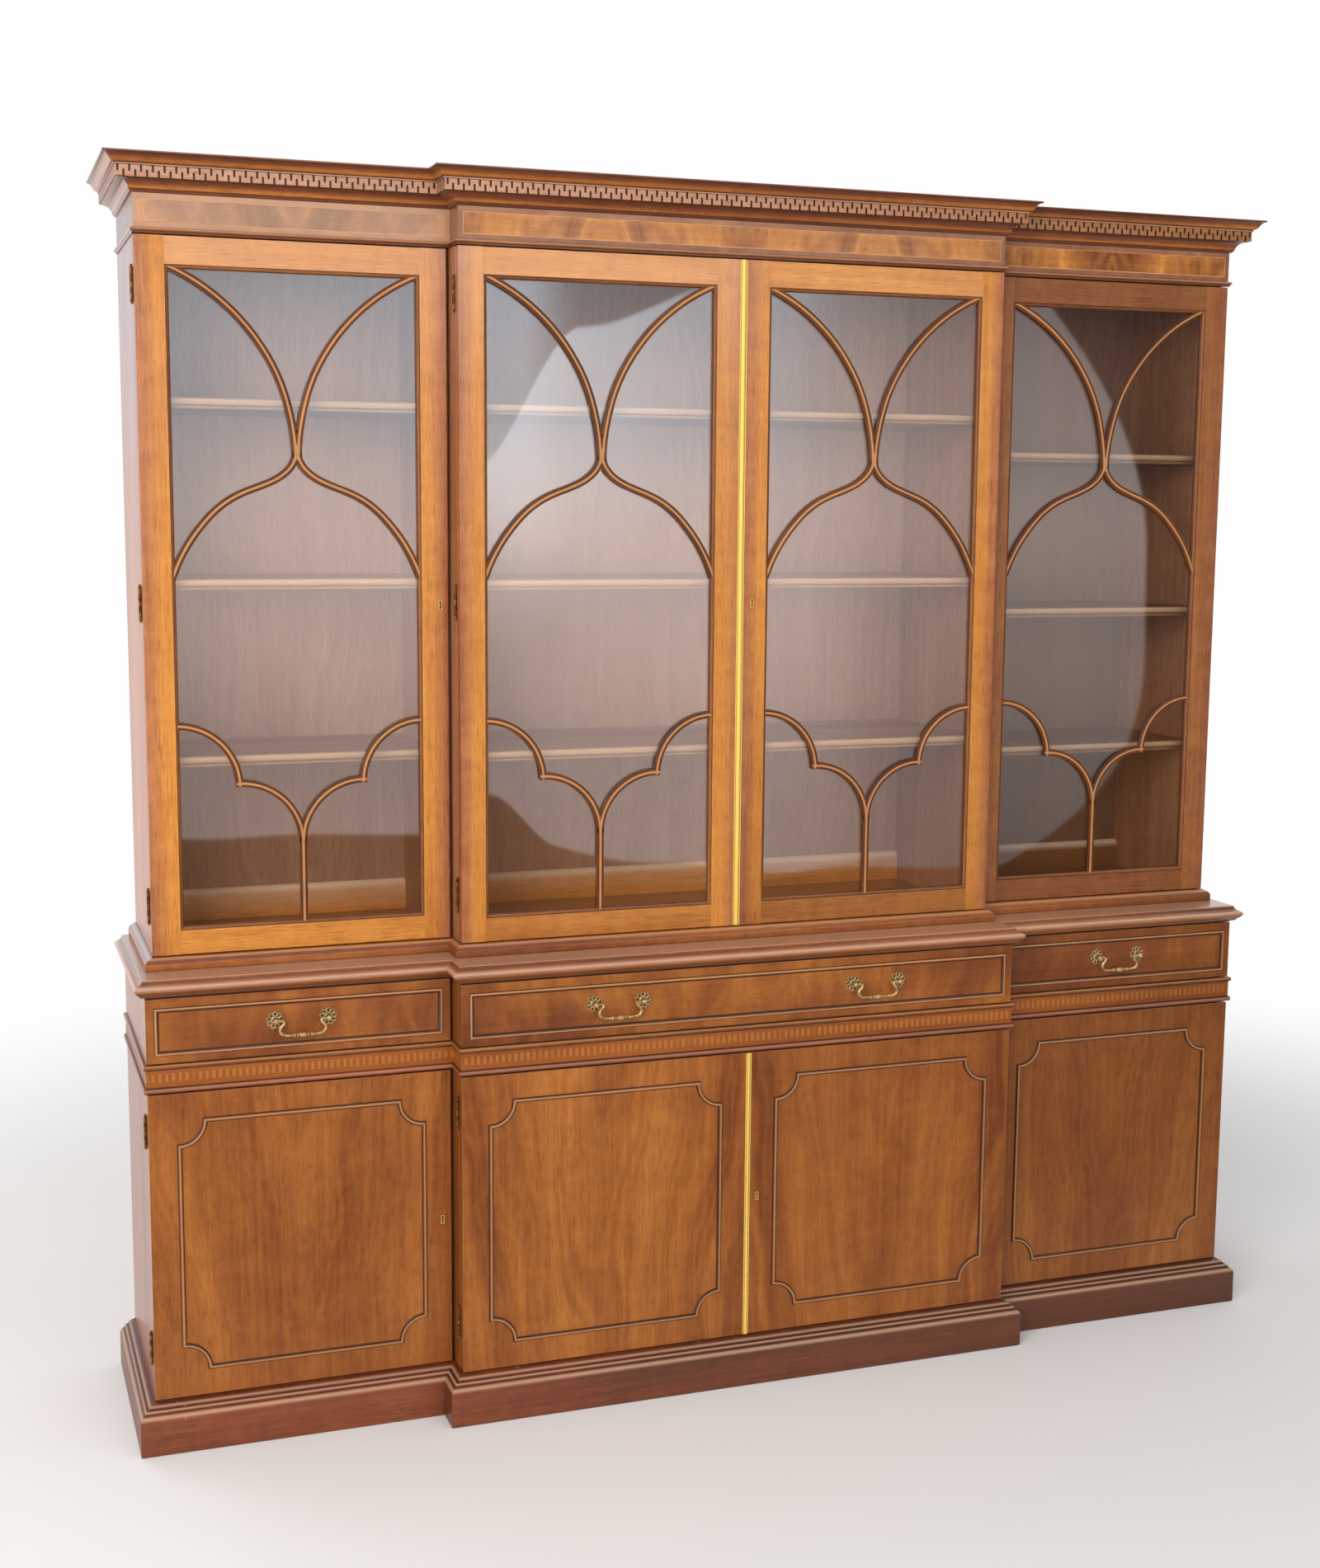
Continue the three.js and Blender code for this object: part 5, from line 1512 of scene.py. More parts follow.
# ------------------------------------------------------------------ brass
def butt(name, x, y, zc, length, side, body):
    """Butt hinge: five knuckles on a pin with small finials, and the edges of its leaves. side is -1 on the left."""
    p = Part()
    r = 2.75
    x = x + 0.25 * side * -1
    h = length / 2
    prof = [(0.0, -h), (1.3, -h + 0.5), (2.0, -h + 1.7), (1.6, -h + 3.0), (1.3, -h + 3.5), (2.6, -h + 4.0), (2.7, -h + 4.8)]
    tone = [0, 0, 0, -0.3, -0.8, -0.2, 0]
    k0, k1 = -h + 5.2, h - 5.2
    for i in range(5):
        a = k0 + (k1 - k0) * i / 5
        b = k0 + (k1 - k0) * (i + 1) / 5
        prof += [(2.1, a), (r, a + 0.35), (r, b - 0.35), (2.1, b)]
        dk = -0.55 if i % 2 else -0.1
        tone += [-0.95, dk, dk, -0.95]
    prof += [(2.7, h - 4.8), (2.6, h - 4.0), (1.3, h - 3.5), (1.6, h - 3.0), (2.0, h - 1.7), (1.3, h - 0.5), (0.0, h)]
    tone += [0, -0.2, -0.8, -0.3, 0, 0, 0]
    lathe(p, prof, (x, y, zc), (0, 0, 1), 14, tone=tone)
    # leaf edges let into door and case
    a, b = sorted((x, x - side * 6.0))
    rbox(p, (a, y - 1.6, zc - h + 4.5), (b, y + 1.6, zc + h - 4.5), 0.3, "z", 0)
    return p.build(name, [M_HINGE], body)


def keyhole(name, x, y, zc, body):
    """Key escutcheon: a thin brass thread round a hole, let into the wood; the hole is a slab painted dark as shade."""
    p = Part()
    out = [(3.05 * math.cos(t), 3.05 * math.sin(t) + 3.2) for t in np.radians(np.linspace(-52, 232, 15))]
    out = out + [(-2.6, -7.2), (-2.0, -8.0), (2.0, -8.0), (2.6, -7.2)]
    out = np.array(out)
    c = out.mean(0)
    inn = []
    off = path_frames(out, True)
    inn = out + off * 0.9
    n = len(out)
    isl = p.new()
    g0 = seed()
    for i in range(n):
        j = (i + 1) % n

        def P3(q, d):
            return (x + q[0], y - d, zc + q[1])

        for ring in (
            [P3(out[i], -0.2), P3(out[j], -0.2), P3(out[j], 0.22), P3(out[i], 0.22)],
            [P3(out[i], 0.22), P3(out[j], 0.22), P3(inn[j], 0.30), P3(inn[i], 0.30)],
            [P3(inn[i], 0.30), P3(inn[j], 0.30), P3(inn[j], -0.2), P3(inn[i], -0.2)],
            [P3(inn[i], -0.2), P3(inn[j], -0.2), P3(out[j], -0.2), P3(out[i], -0.2)],
        ):
            q = np.array(ring)
            p.face(q, q * MM + g0, 0.0, 0, isl)
    # the hole: a thin closed slab painted dark as shade
    q = np.array([(x + a, y - 0.04, zc + b) for a, b in inn])
    b = q + np.array([0.0, 0.2, 0.0])
    isl = p.face(q, q * MM + g0, -0.9, 1)
    p.face(b, b * MM + g0, -0.9, 1, isl)
    for k in range(n):
        e = np.array([q[k], q[k - 1], b[k - 1], b[k]])
        p.face(e, e * MM + g0, -0.9, 1, isl)
    return p.build(name, [M_BRASS, M_HOLE_SHADE], body)


def meeting_strip(name, half, face, z0, z1, body, node):
    """Brass strip: a bright round reed, a groove and a thin reed on each side."""
    h = half
    prof = [(-h, 0.0), (-h, -0.9), (-h + 0.4, -1.3), (-h + 1.0, -1.35), (-h + 1.5, -1.0), (-h + 1.75, -0.35)]
    c = h - 2.6
    body_arc = [(c * math.sin(t), -2.4 * max(math.cos(t), 0.0) ** 0.75) for t in np.radians(np.linspace(-84, 84, 13))]
    poly = prof + [(a, b) for a, b in body_arc] + [(-a, b) for a, b in prof[::-1]]
    tn = [-0.4, -0.2, 0.0, 0.0, -0.4, -0.8] + [-0.3, 0.0] + [0.0] * 9 + [0.0, -0.3] + [-0.8, -0.4, 0.0, 0.0, -0.2, -0.4]
    p = Part()
    P = np.array([(x, face + y) for x, y in poly])
    k = len(P)
    zs = [z0, z1]
    Q = np.zeros((2, k, 3))
    for i, z in enumerate(zs):
        Q[i, :, 0], Q[i, :, 1], Q[i, :, 2] = P[:, 0], P[:, 1], z
    g = np.stack([Q[..., 2] * MM, Q[..., 0] * MM, Q[..., 1] * MM], -1) + seed()
    T = np.broadcast_to(np.array(tn), (2, k))
    isl = p.grid(Q, g, T, 0, cv=True)
    for i in (0, 1):
        p.face(Q[i], g[i], T[i], 0, isl)
    return p.build(name, [M_BRASS], body, [node], sharp=40)


# ------------------------------------------------------------------ glazed doors
def tracery_paths(xm):
    h = OPEN_W / 2
    zb, zt = OPEN_Z
    R = (h * h + (zt - 1555) ** 2) / (2 * h)
    top = math.degrees(math.asin((zt - 1555) / R))
    ogee = spline(
        [(0, 1578), (2.2, 1557), (12, 1541), (30, 1526.5), (55, 1515), (80, 1505.5), (104, 1493.5), (126, 1477), (146, 1456),
         (163, 1434), (175.5, 1414), (187, 1391), (h - 0.6, 1371)], 3)
    paths = []
    for s in (-1, 1):
        up = arc(-R, 1555, R, top - 0.4, 0, 22)
        # the two bars run side by side in the waist
        k = 1.8 * smooth01((1700 - up[:, 1]) / 90)
        up[:, 0] -= k
        paths.append([(xm + s * x, z) for x, z in up])
        og = ogee.copy()
        og[:, 0] += 1.8 * smooth01((og[:, 1] - 1535) / 30) * 0.4
        paths.append([(xm + s * x, z) for x, z in og])
        paths.append([(xm + s * x, z) for x, z in arc(h, 1046, 97.5, 90.5, 180, 14)])
        paths.append([(xm + s * x, z) for x, z in [(103.5, 1050.2)] + [tuple(q) for q in arc(97.5, 953, 97.5, 90, 180, 14)]])
    paths.append([(xm, 962), (xm, zb + 0.3)])
    return paths


# bar section; BAR_T paints highlight on the round of each bar and shade in its quirks
BAR = [(-5.9, 6.1), (-5.9, 1.1), (-5.6, 0.7), (-4.1, 0.7), (-3.7, 1.5), (-3.4, 1.5), (-2.9, 0.45), (-1.7, -0.2), (0, -0.5), (1.7, -0.2),
       (2.9, 0.45), (3.4, 1.5), (3.7, 1.5), (4.1, 0.7), (5.6, 0.7), (5.9, 1.1), (5.9, 6.1)]
BAR_T = [-0.8, -0.75, -0.4, -0.55, -1.0, -1.0, -0.3, 0.18, 0.38, 0.18, -0.3, -1.0, -1.0, -0.55, -0.4, -0.75, -0.8]


def glazed(tag, x0, x1, xm, face, body, hinge_side):
    h = OPEN_W / 2
    a, b = OPEN_Z
    z0, z1 = 783.05, 1885.45
    f, d1, d2 = face, face + 8, face + DOOR_T
    node = f"door_frame_{tag}"
    right = tag == "right"
    p = Part()
    # painted shade: the right door is drawn darker, and the centre right door darker towards the bottom; painted_haze
    # draws the left-hand doors' stiles paler towards the top, as a sheen of light
    p.painted_shade = 0.35 if right else 0.0
    if tag == "centre_right":
        p.painted_shade = lambda P: 0.2 * smooth01((1350.0 - np.asarray(P, float)[..., 2]) / 500.0)
    painted_haze = 0.0 if right else (0.14 if tag == "centre_right" else 0.3)
    # stiles: full height, redder at the outer edge, golden towards the glass
    for s in (-1, 1):
        xo, xi = (x0, xm - h) if s < 0 else (x1, xm + h)
        w = abs(xi - xo)
        steps = [0.0, 0.06, 0.16, 0.34, 0.6, 1.0]
        front_pts = [(xo + (xi - xo) * t, f) for t in steps]
        poly = front_pts + [(xi, d1), (xi - s * -REBATE * -1, d1)]
        poly = front_pts + [(xi, d1), (xi + s * REBATE, d1), (xi + s * REBATE, d2), (xo, d2)]
        rs = [0.9] + [0] * (len(steps) - 2) + [0.4, 0.3, 0, 0.3, 0.8]
        poly = rounded(poly, rs, 2)
        p.warm = (lambda xo, xi: lambda P: smooth01((np.asarray(P)[..., 0] - xo) / (xi - xo) * 1.25 - 0.02) * (0.3 if right else 1.0))(xo, xi)
        prism(p, poly, "z", z0, z1, 0, default_frame("z"), tone=np.array([0.0, 0.0, 0.2 * painted_haze, (0.8 if s == hinge_side and tag == "centre_left" else (0.15 if s == hinge_side else 0.8)) * painted_haze])[:, None], stations=[z0, 1350.0, 1650.0, z1])
    # rails between the stiles
    p.warm = 0.1 if right else 0.92
    # painted shade on the bottom rails and on the right door's rails; painted_haze draws the top rails paler, as a
    # sheen
    for lo, hi, ze in ((z0, a, -1), (b, z1, 1)):
        zi, zo = (a, z0) if ze < 0 else (b, z1)
        if right:
            p.warm, p.painted_shade = 0.3, 0.52
        elif ze < 0:
            p.warm, p.painted_shade = {"left": (0.92, 0.0), "centre_left": (0.8, 0.14), "centre_right": (0.7, 0.38)}[tag]
        else:
            p.warm, p.painted_shade = 0.92, 0.0
        poly = [(f, zo), (f, zi), (d1, zi), (d1, zi + ze * REBATE), (d2, zi + ze * REBATE), (d2, zo)]
        poly = rounded(poly, [0.8, 0.4, 0.3, 0, 0.3, 0.8], 2)
        prism(p, poly, "x", xm - h + 0.02, xm + h - 0.02, 0, default_frame("x"), tone=(0.7 * painted_haze if ze > 0 else 0.0))
    p.build(f"{node}_joined", [M_FRAME], body, [node], sharp=34)

    # ovolo, tracery bars and the beads that hold the glass from behind
    p = Part()
    y0 = face
    g = 0.15
    ovolo = [(g, 0.5), (0.5, 0.35), (1.6, 0.5), (3.0, 1.2), (4.1, 2.4), (4.8, 3.9), (5.05, 5.3), (5.6, 5.6), (5.7, 7.75), (g, 7.75)]
    # tones paint shade in the quirks and a little highlight on the round of the ovolo and the back beads
    rect_sweep(p, (xm - h, xm + h, a, b), ovolo, y0, 0, tone=[-0.95, -0.85, -0.3, 0.0, 0.08, 0.0, -0.8, -0.4, -0.5, -0.5])
    for path in tracery_paths(xm):
        sweep_xz(p, path, BAR, y0 + 1.65, tone=BAR_T, mat=0)
    back = [(-REBATE + 0.3, 11.3), (-REBATE + 0.3, 18.6), (-1.0, 18.6), (1.6, 16.4), (3.2, 12.6), (3.4, 11.3)]
    rect_sweep(p, (xm - h, xm + h, a, b), back, y0, 0, tone=[-0.4, 0, 0, 0.1, 0, -0.4])
    p.build(f"tracery_{tag}_moulded", [M_TRACERY], body, [f"tracery_{tag}"], sharp=36)

    for i, zc in enumerate((1814.0, 1333.5, 858.7)):
        xh = x0 if hinge_side < 0 else x1
        butt(f"hinge_upper_{tag}_{i + 1}", xh + hinge_side * 2.5, face + DOOR_T + 0.25, zc, 60, hinge_side, body)
    g_ = frame["nodes"][f"glass_{tag}"]
    g_.data.materials.clear()
    g_.data.materials.append(M_GLASS)


glazed("left", -963.0, -484.5, -723.0, UPP["yw"], "upper_door_left", -1)
glazed("centre_left", -478.0, 6.3, -241.5, UPP["yc"], "upper_door_centre_left", -1)
glazed("centre_right", 6.8, 478.0, 241.5, UPP["yc"], "upper_door_centre_right", 1)
glazed("right", 484.5, 963.0, 723.0, UPP["yw"], "upper_door_right", 1)
meeting_strip("upper_meeting_strip_reeded", 6.2, UPP["yc"], 783.5, 1885.0, "upper_door_centre_left", "upper_meeting_strip")
keyhole("keyhole_upper_left", -497.6, UPP["yw"], 1328.5, "upper_door_left")
keyhole("keyhole_upper_centre", 21.5, UPP["yc"], 1328.6, "upper_door_centre_right")
keyhole("keyhole_upper_right", 497.6, UPP["yw"], 1328.5, "upper_door_right")


# ------------------------------------------------------------------ cupboard doors
def scooped(x0, x1, z0, z1, r, n=9):
    return np.concatenate([
        arc(x0, z0, r, 90, 0, n),
        arc(x1, z0, r, 180, 90, n),
        arc(x1, z1, r, 270, 180, n),
        arc(x0, z1, r, 360, 270, n),
    ])


def panel_frame(xm, sgn, sd):
    def g(Q):
        Q = np.asarray(Q, float)
        return np.stack([(Q[..., 2] - 329.0) * MM, (Q[..., 0] - xm) * sgn * MM, np.full(Q.shape[:-1], sd)], -1)

    return g


def subdivide_front(p, lo, hi, r, fr_front, fr_side, n=1):
    rbox(p, lo, hi, r, "z", 1, fr_side, sides={(1, 0): (0, fr_front)}, wear=0.1)


# DOOR_MOULD_T paints highlight on the round of the moulding and shade in its quirks
DOOR_MOULD = [(-4.0, 0.4), (-3.9, -0.7), (-3.3, -1.1), (-3.0, -2.2), (-2.2, -3.2), (-1.0, -3.8), (0.2, -4.0), (1.4, -3.7), (2.4, -2.9), (3.0, -1.9),
              (3.3, -1.0), (3.9, -0.6), (4.0, 0.4)]
DOOR_MOULD_T = [-1.0, -0.95, -0.95, -0.5, 0.0, 0.28, 0.3, 0.1, -0.35, -0.7, -1.0, -0.95, -1.0]


def cupboard(tag, x0, x1, rect, face, body, side, sgn, sd):
    z0, z1 = 81.05, 577.45
    xm = (rect[0] + rect[1]) / 2
    p = Part()
    # painted shade: the right door drawn darker all over; the others a little darker towards the foot
    top, foot = {"left": (0.0, 0.03), "centre_left": (0.0, 0.05), "centre_right": (0.15, 0.08), "right": (0.37, 0.28)}[tag]
    p.painted_shade = lambda P: top + (foot - top) * (z1 - np.asarray(P, float)[..., 2]) / (z1 - z0)
    subdivide_front(p, (x0, face, z0), (x1, face + DOOR_T, z1), 0.9, panel_frame(xm, sgn, sd), default_frame("z"))
    path = scooped(rect[0], rect[1], 126.5, 532.0, 40)
    sweep_xz(p, path, DOOR_MOULD, face, closed=True, mat=2, tone=DOOR_MOULD_T)
    p.build(f"lower_door_{tag}_veneered", [M_CROWN, M_MOULD, M_BEAD], body, [f"lower_door_{tag}"], sharp=36)
    for i, zc in enumerate((515.0, 161.0)):
        xh = x0 if side < 0 else x1
        butt(f"hinge_lower_{tag}_{i + 1}", xh + side * 2.5, face + DOOR_T + 0.25, zc, 58, side, body)


cupboard("left", -983.0, -502.0, (-935.9, -546.8), LOW["yw"], "lower_door_left_leaf", -1, 1, 0.31)
cupboard("centre_left", -496.0, 4.9, (-448.5, -50.5), LOW["yc"], "lower_door_centre_left_leaf", -1, 1, 1.17)
cupboard("centre_right", 5.4, 496.0, (50.5, 448.5), LOW["yc"], "lower_door_centre_right_leaf", 1, 1, 1.22)
cupboard("right", 502.0, 983.0, (546.8, 935.9), LOW["yw"], "lower_door_right_leaf", 1, -1, 0.36)
meeting_strip("lower_meeting_strip_reeded", 4.8, LOW["yc"], 81.5, 577.0, "lower_door_centre_left_leaf", "lower_meeting_strip")
keyhole("keyhole_lower_left", -516.6, LOW["yw"], 327.2, "lower_door_left_leaf")
keyhole("keyhole_lower_centre", 18.4, LOW["yc"], 326.4, "lower_door_centre_right_leaf")
keyhole("keyhole_lower_right", 516.6, LOW["yw"], 327.2, "lower_door_right_leaf")

# ------------------------------------------------------------------ drawers
HZ = 683.0


def rosette(p, x, face, inward, mat):
    """Cast plate of nine open petals round a boss, and the post that carries the bail."""
    isl = None
    g0 = seed()
    n = 9
    # thin backing disc
    lathe(p, [(0.0, 0.4), (7.6, 0.4), (7.9, 0.1), (7.9, -0.3), (7.4, -0.8), (0.0, -0.9)], (x, face, HZ), (0, 1, 0), 27, mat,
          tone=[-0.6, -0.6, -0.6, -0.7, -0.8, -0.9])
    for i in range(n):
        a = 2 * math.pi * i / n + math.pi / 2
        pts = []
        for t in np.linspace(0, 2 * math.pi, 15):
            # an egg-shaped loop, wider outside
            u = 9.6 + 3.75 * math.cos(t)
            v = (2.9 + 0.75 * math.cos(t)) * math.sin(t)
            pts.append((x + u * math.cos(a) - v * math.sin(a), face - 1.0, HZ + u * math.sin(a) + v * math.cos(a)))
        tube(p, pts[:-1] + [pts[0]], 0.85, 7, mat, caps=False, tone=0.0)
        # petal floor
        q = np.array([(px, face - 0.25, pz) for px, _, pz in pts[:-1]])
        b = q + np.array([0.0, 0.45, 0.0])
        isl = p.face(q, q * MM + g0, -0.75, mat)
        p.face(b, b * MM + g0, -0.75, mat, isl)
        for k in range(len(q)):
            e = np.array([q[k], q[k - 1], b[k - 1], b[k]])
            p.face(e, e * MM + g0, -0.75, mat, isl)
    prof = [(6.3, -0.6), (6.4, -1.4), (5.6, -2.3), (4.4, -2.8), (3.5, -3.5), (2.9, -5.0), (2.7, -7.0), (3.0, -8.6), (3.9, -9.3), (4.35, -10.6),
            (4.45, -12.0), (4.2, -13.7), (3.4, -15.1), (2.0, -16.0), (0.0, -16.3)]
    tone = [-0.95, -0.4, 0.0, -0.5, -0.9, -0.4, -0.2, -0.6, -0.8, 0, 0, 0, 0, 0, 0]
    lathe(p, prof, (x, face, HZ), (0, 1, 0), 18, mat, tone=tone)
    # short collar where the bail enters
    lathe(p, [(2.9, 2.6), (3.0, 4.4), (2.5, 5.3), (2.3, 5.4)], (x, face - 12, HZ), (inward, 0, 0), 12, mat, tone=[-0.5, 0, -0.2, -0.8])


def bail(name, x, face, body, node):
    p = Part()
    half = [(41.2, 0), (36, 0), (31.5, -0.1), (29.4, -1.4), (29.5, -4.0), (32.4, -7.4), (35.6, -11.6), (36.1, -16.2), (33.2, -20.6), (28.0, -23.0), (21.0, -23.8), (13.8, -23.7)]
    for s in (-1, 1):
        c = spline([(a, b) for a, b in half], 3)
        pts = [(x + s * a, face - 12, HZ + b) for a, b in c]
        t = np.linspace(0, 1, len(pts))
        rad = 1.7 + 1.0 * smooth01((t - 0.18) / 0.3) - 0.75 * smooth01((t - 0.72) / 0.28)
        tube(p, pts, rad, 10, 0, tone=0.0)
    mid = [(0, -15.2), (2.8, -14.9), (3.7, -14.0), (3.7, -12.9), (2.8, -12.1), (2.0, -11.6), (2.0, -10.2), (3.0, -9.8), (3.6, -8.8), (3.0, -7.8), (2.2, -7.3),
           (2.8, -6.0), (4.0, -3.2), (4.5, 0), (4.0, 3.2), (2.8, 6.0), (2.2, 7.3), (3.0, 7.8), (3.6, 8.8), (3.0, 9.8), (2.0, 10.2), (2.0, 11.6), (2.8, 12.1),
           (3.7, 12.9), (3.7, 14.0), (2.8, 14.9), (0, 15.2)]
    tn = [0, 0, 0, 0, -0.4, -0.7, -0.7, -0.2, 0, -0.2, -0.7, -0.2, 0, 0, 0, -0.2, -0.7, -0.2, 0, -0.2, -0.7, -0.7, -0.4, 0, 0, 0, 0]
    lathe(p, mid, (x, face - 12, HZ - 23.7), (1, 0, 0), 16, 0, tone=tn)
    return p.build(name, [M_AGED], body, [node], sharp=50)


# COCK section; the tones given with it paint highlight on the bead and shade in its quirks
COCK = [(-1.6, 0.4), (-1.6, -0.8), (-1.1, -1.7), (-0.3, -2.6), (0.8, -3.1), (2.0, -3.2), (3.2, -2.7), (4.2, -1.9), (4.8, -1.0), (5.2, -0.7), (5.9, -0.6), (6.2, 0.4)]


def drawer(tag, x0, x1, face, box_x, handles, body, bails):
    z0, z1 = 627.05, 729.45
    f2 = face + DOOR_T - 0.5
    sd = seed()

    def fig(Q):
        Q = np.asarray(Q, float)
        return np.stack([(Q[..., 0]) * MM, Q[..., 2] * MM, np.zeros(Q.shape[:-1])], -1) + sd

    p = Part()
    # painted shade: the right drawer drawn darker, the others a little
    p.painted_shade = 0.36 if tag == "right" else 0.1
    subdivide_front(p, (x0, face, z0), (x1, f2, z1), 0.8, fig, default_frame("x"))
    rect_sweep(p, (x0 + 14.5, x1 - 14.5, z0 + 13.9, z1 - 15.9), COCK, face, 2, tone=[-1.0, -0.9, -0.2, 0.34, 0.42, 0.16, -0.25, -0.6, -0.95, -1.0, -0.8, -1.0])
    for hx in handles:
        for s in (-1, 1):
            rosette(p, hx + 42 * s, face, -s, 3)
    p.build(f"drawer_front_{tag}_veneered", [M_FIG, M_MOULD, M_BEAD, M_AGED], body, [f"drawer_front_{tag}"], sharp=38)

    a, b = box_x
    y0, y1 = face + DOOR_T - 0.28, BACK_F - 12
    t = 11
    p = Part()
    rbox(p, (a, y0, 632.1), (a + t, y1, 715.9), 1.0, "y")
    rbox(p, (b - t, y0, 632.1), (b, y1, 715.9), 1.0, "y")
    rbox(p, (a + t - 0.1, y1 - t, 632.1), (b - t + 0.1, y1 - 0.3, 715.9), 1.0, "x")
    rbox(p, (a + t - 0.1, y0, 632.1), (b - t + 0.1, y0 + t, 715.9), 1.0, "x")
    ncut = 5
    xs = np.linspace(a + t - 0.5, b - t + 0.5, 4)
    for k in range(3):
        rbox(p, (xs[k], y0 + t - 0.3, 633.0), (xs[k + 1], y1 - t + 0.3, 640.0), 0.5, "x")
    # dovetails at the back corners: the tails' end grain shows on the back
    for xe, sx in ((a, 1), (b, -1)):
        for k in range(4):
            zc = 642.5 + k * 20.5
            q = [(0.0, zc - 5), (0.0, zc + 5), (t, zc + 7), (t, zc - 7)]
            poly = [(xe + sx * u, z) for u, z in q]
            prism(p, poly, "y", y1 - 0.35, y1, 1, default_frame("y"))
    p.build(f"drawer_box_{tag}_dovetailed", [M_BOX, M_MOULD], body, [f"drawer_box_{tag}"])
    for nm, hx in bails:
        bail(f"bail_{nm}_cast", hx, face, f"bail_{nm}_swing", f"bail_{nm}")


drawer("left", -983.0, -501.5, LOW["yw"], (-963, -518), [-742.0], "drawer_left", [("left", -742.0)])
drawer("centre", -496.0, 496.0, LOW["yc"], (-476, 476), [-232.0, 232.0], "drawer_centre", [("centre_a", -232.0), ("centre_b", 232.0)])
drawer("right", 501.5, 983.0, LOW["yw"], (518, 963), [742.0], "drawer_right", [("right", 742.0)])


# ------------------------------------------------------------------ floor, light, camera
def floor_material():
    """Pale and plain; it turns to the white of the backdrop a few metres out."""
    t = Tree("studio_floor")
    g = t.add("ShaderNodeTexCoord").outputs["Object"]
    n = t.noise(t.mul(g, (2.0, 2.0, 2.0)), 1.0, 3.0, 0.5)
    d = t.add("ShaderNodeBsdfDiffuse")
    lp = t.add("ShaderNodeLightPath")
    # in reflections the floor further in front stands for a duller room floor
    far = t.math("MULTIPLY", lp.outputs["Is Glossy Ray"], t.step(t.xyz(g)[1], -0.35, -0.95))
    t.put(d.inputs["Color"], t.mix(far, t.mix(n, GREY(0.87), GREY(0.90)), C(128, 118, 108)))
    e = t.add("ShaderNodeEmission")
    e.inputs["Strength"].default_value = 1.0
    ln = t.add("ShaderNodeVectorMath", operation="LENGTH")
    t.put(ln.inputs[0], g)
    mx = t.add("ShaderNodeMixShader")
    t.put(mx.inputs[0], t.math("MULTIPLY", t.step(ln.outputs["Value"], 1.5, 3.3), lp.outputs["Is Camera Ray"]))
    t.nt.links.new(d.outputs[0], mx.inputs[1])
    t.nt.links.new(e.outputs[0], mx.inputs[2])
    t.put(t.out.inputs[0], mx.outputs[0])
    return t.m


def make_floor():
    me = bpy.data.meshes.new("studio_floor")
    bm = bmesh.new()
    # a wide round floor
    rings = [[bm.verts.new((r * math.cos(a), r * math.sin(a), -0.0004)) for a in np.linspace(0, 2 * math.pi, 64, endpoint=False)] for r in (1.2, 2.0, 2.8, 3.6)]
    bm.faces.new(rings[0])
    for r0, r1 in zip(rings, rings[1:]):
        for k in range(64):
            bm.faces.new((r0[k], r0[(k + 1) % 64], r1[(k + 1) % 64], r1[k]))
    bmesh.ops.recalc_face_normals(bm, faces=bm.faces)
    bm.to_mesh(me)
    bm.free()
    ob = bpy.data.objects.new("studio_floor", me)
    bpy.context.scene.collection.objects.link(ob)
    me.materials.append(floor_material())
    return ob


make_floor()


def area(name, at, to, size, power, color=(1, 1, 1), shape="RECTANGLE", size_y=None, spread=math.pi):
    d = bpy.data.lights.new(name, "AREA")
    d.shape = shape
    d.size = size
    d.size_y = size_y or size
    d.energy = power
    d.color = color
    d.spread = spread
    o = bpy.data.objects.new(name, d)
    o.location = at
    o.rotation_mode = "QUATERNION"
    o.rotation_quaternion = (Vector(to) - Vector(at)).to_track_quat("-Z", "Y")
    bpy.context.scene.collection.objects.link(o)
    return o


area("key", (-2.7, -3.3, 2.3), (-0.2, 0.0, 1.1), 2.4, 120.0, (1.0, 0.965, 0.92), size_y=2.2)
area("front", (0.9, -5.0, 1.6), (0.1, 0.0, 1.1), 4.0, 62.0, (1.0, 0.98, 0.96), size_y=2.5)
area("left", (-2.9, 3.6, 1.2), (-1.0, 0.0, 1.0), 2.6, 70.0, (0.97, 0.985, 1.0), size_y=3.0)
for o in bpy.context.scene.objects:
    if o.type == "LIGHT":
        o.visible_camera = False
        o.visible_glossy = False

# a white backdrop to the camera, an even surround for light, and a large soft window high on the left in reflections
wt = bpy.data.worlds.new("studio")
wt.use_nodes = True
nt = wt.node_tree


def wn(kind, **props):
    n = nt.nodes.new(kind)
    for k, v in props.items():
        setattr(n, k, v)
    return n


def wput(sock, v):
    if isinstance(v, bpy.types.NodeSocket):
        nt.links.new(v, sock)
    else:
        sock.default_value = v


def wmath(op, a, b=0.0, c=0.0):
    n = wn("ShaderNodeMath", operation=op)
    for s_, v in zip(n.inputs, (a, b, c)):
        wput(s_, v)
    return n.outputs[0]


def wstep(v, lo, hi, a=0.0, b=1.0):
    n = wn("ShaderNodeMapRange", interpolation_type="SMOOTHSTEP", clamp=True)
    for s_, x in zip(("Value", "From Min", "From Max", "To Min", "To Max"), (v, lo, hi, a, b)):
        wput(n.inputs[s_], x)
    return n.outputs["Result"]


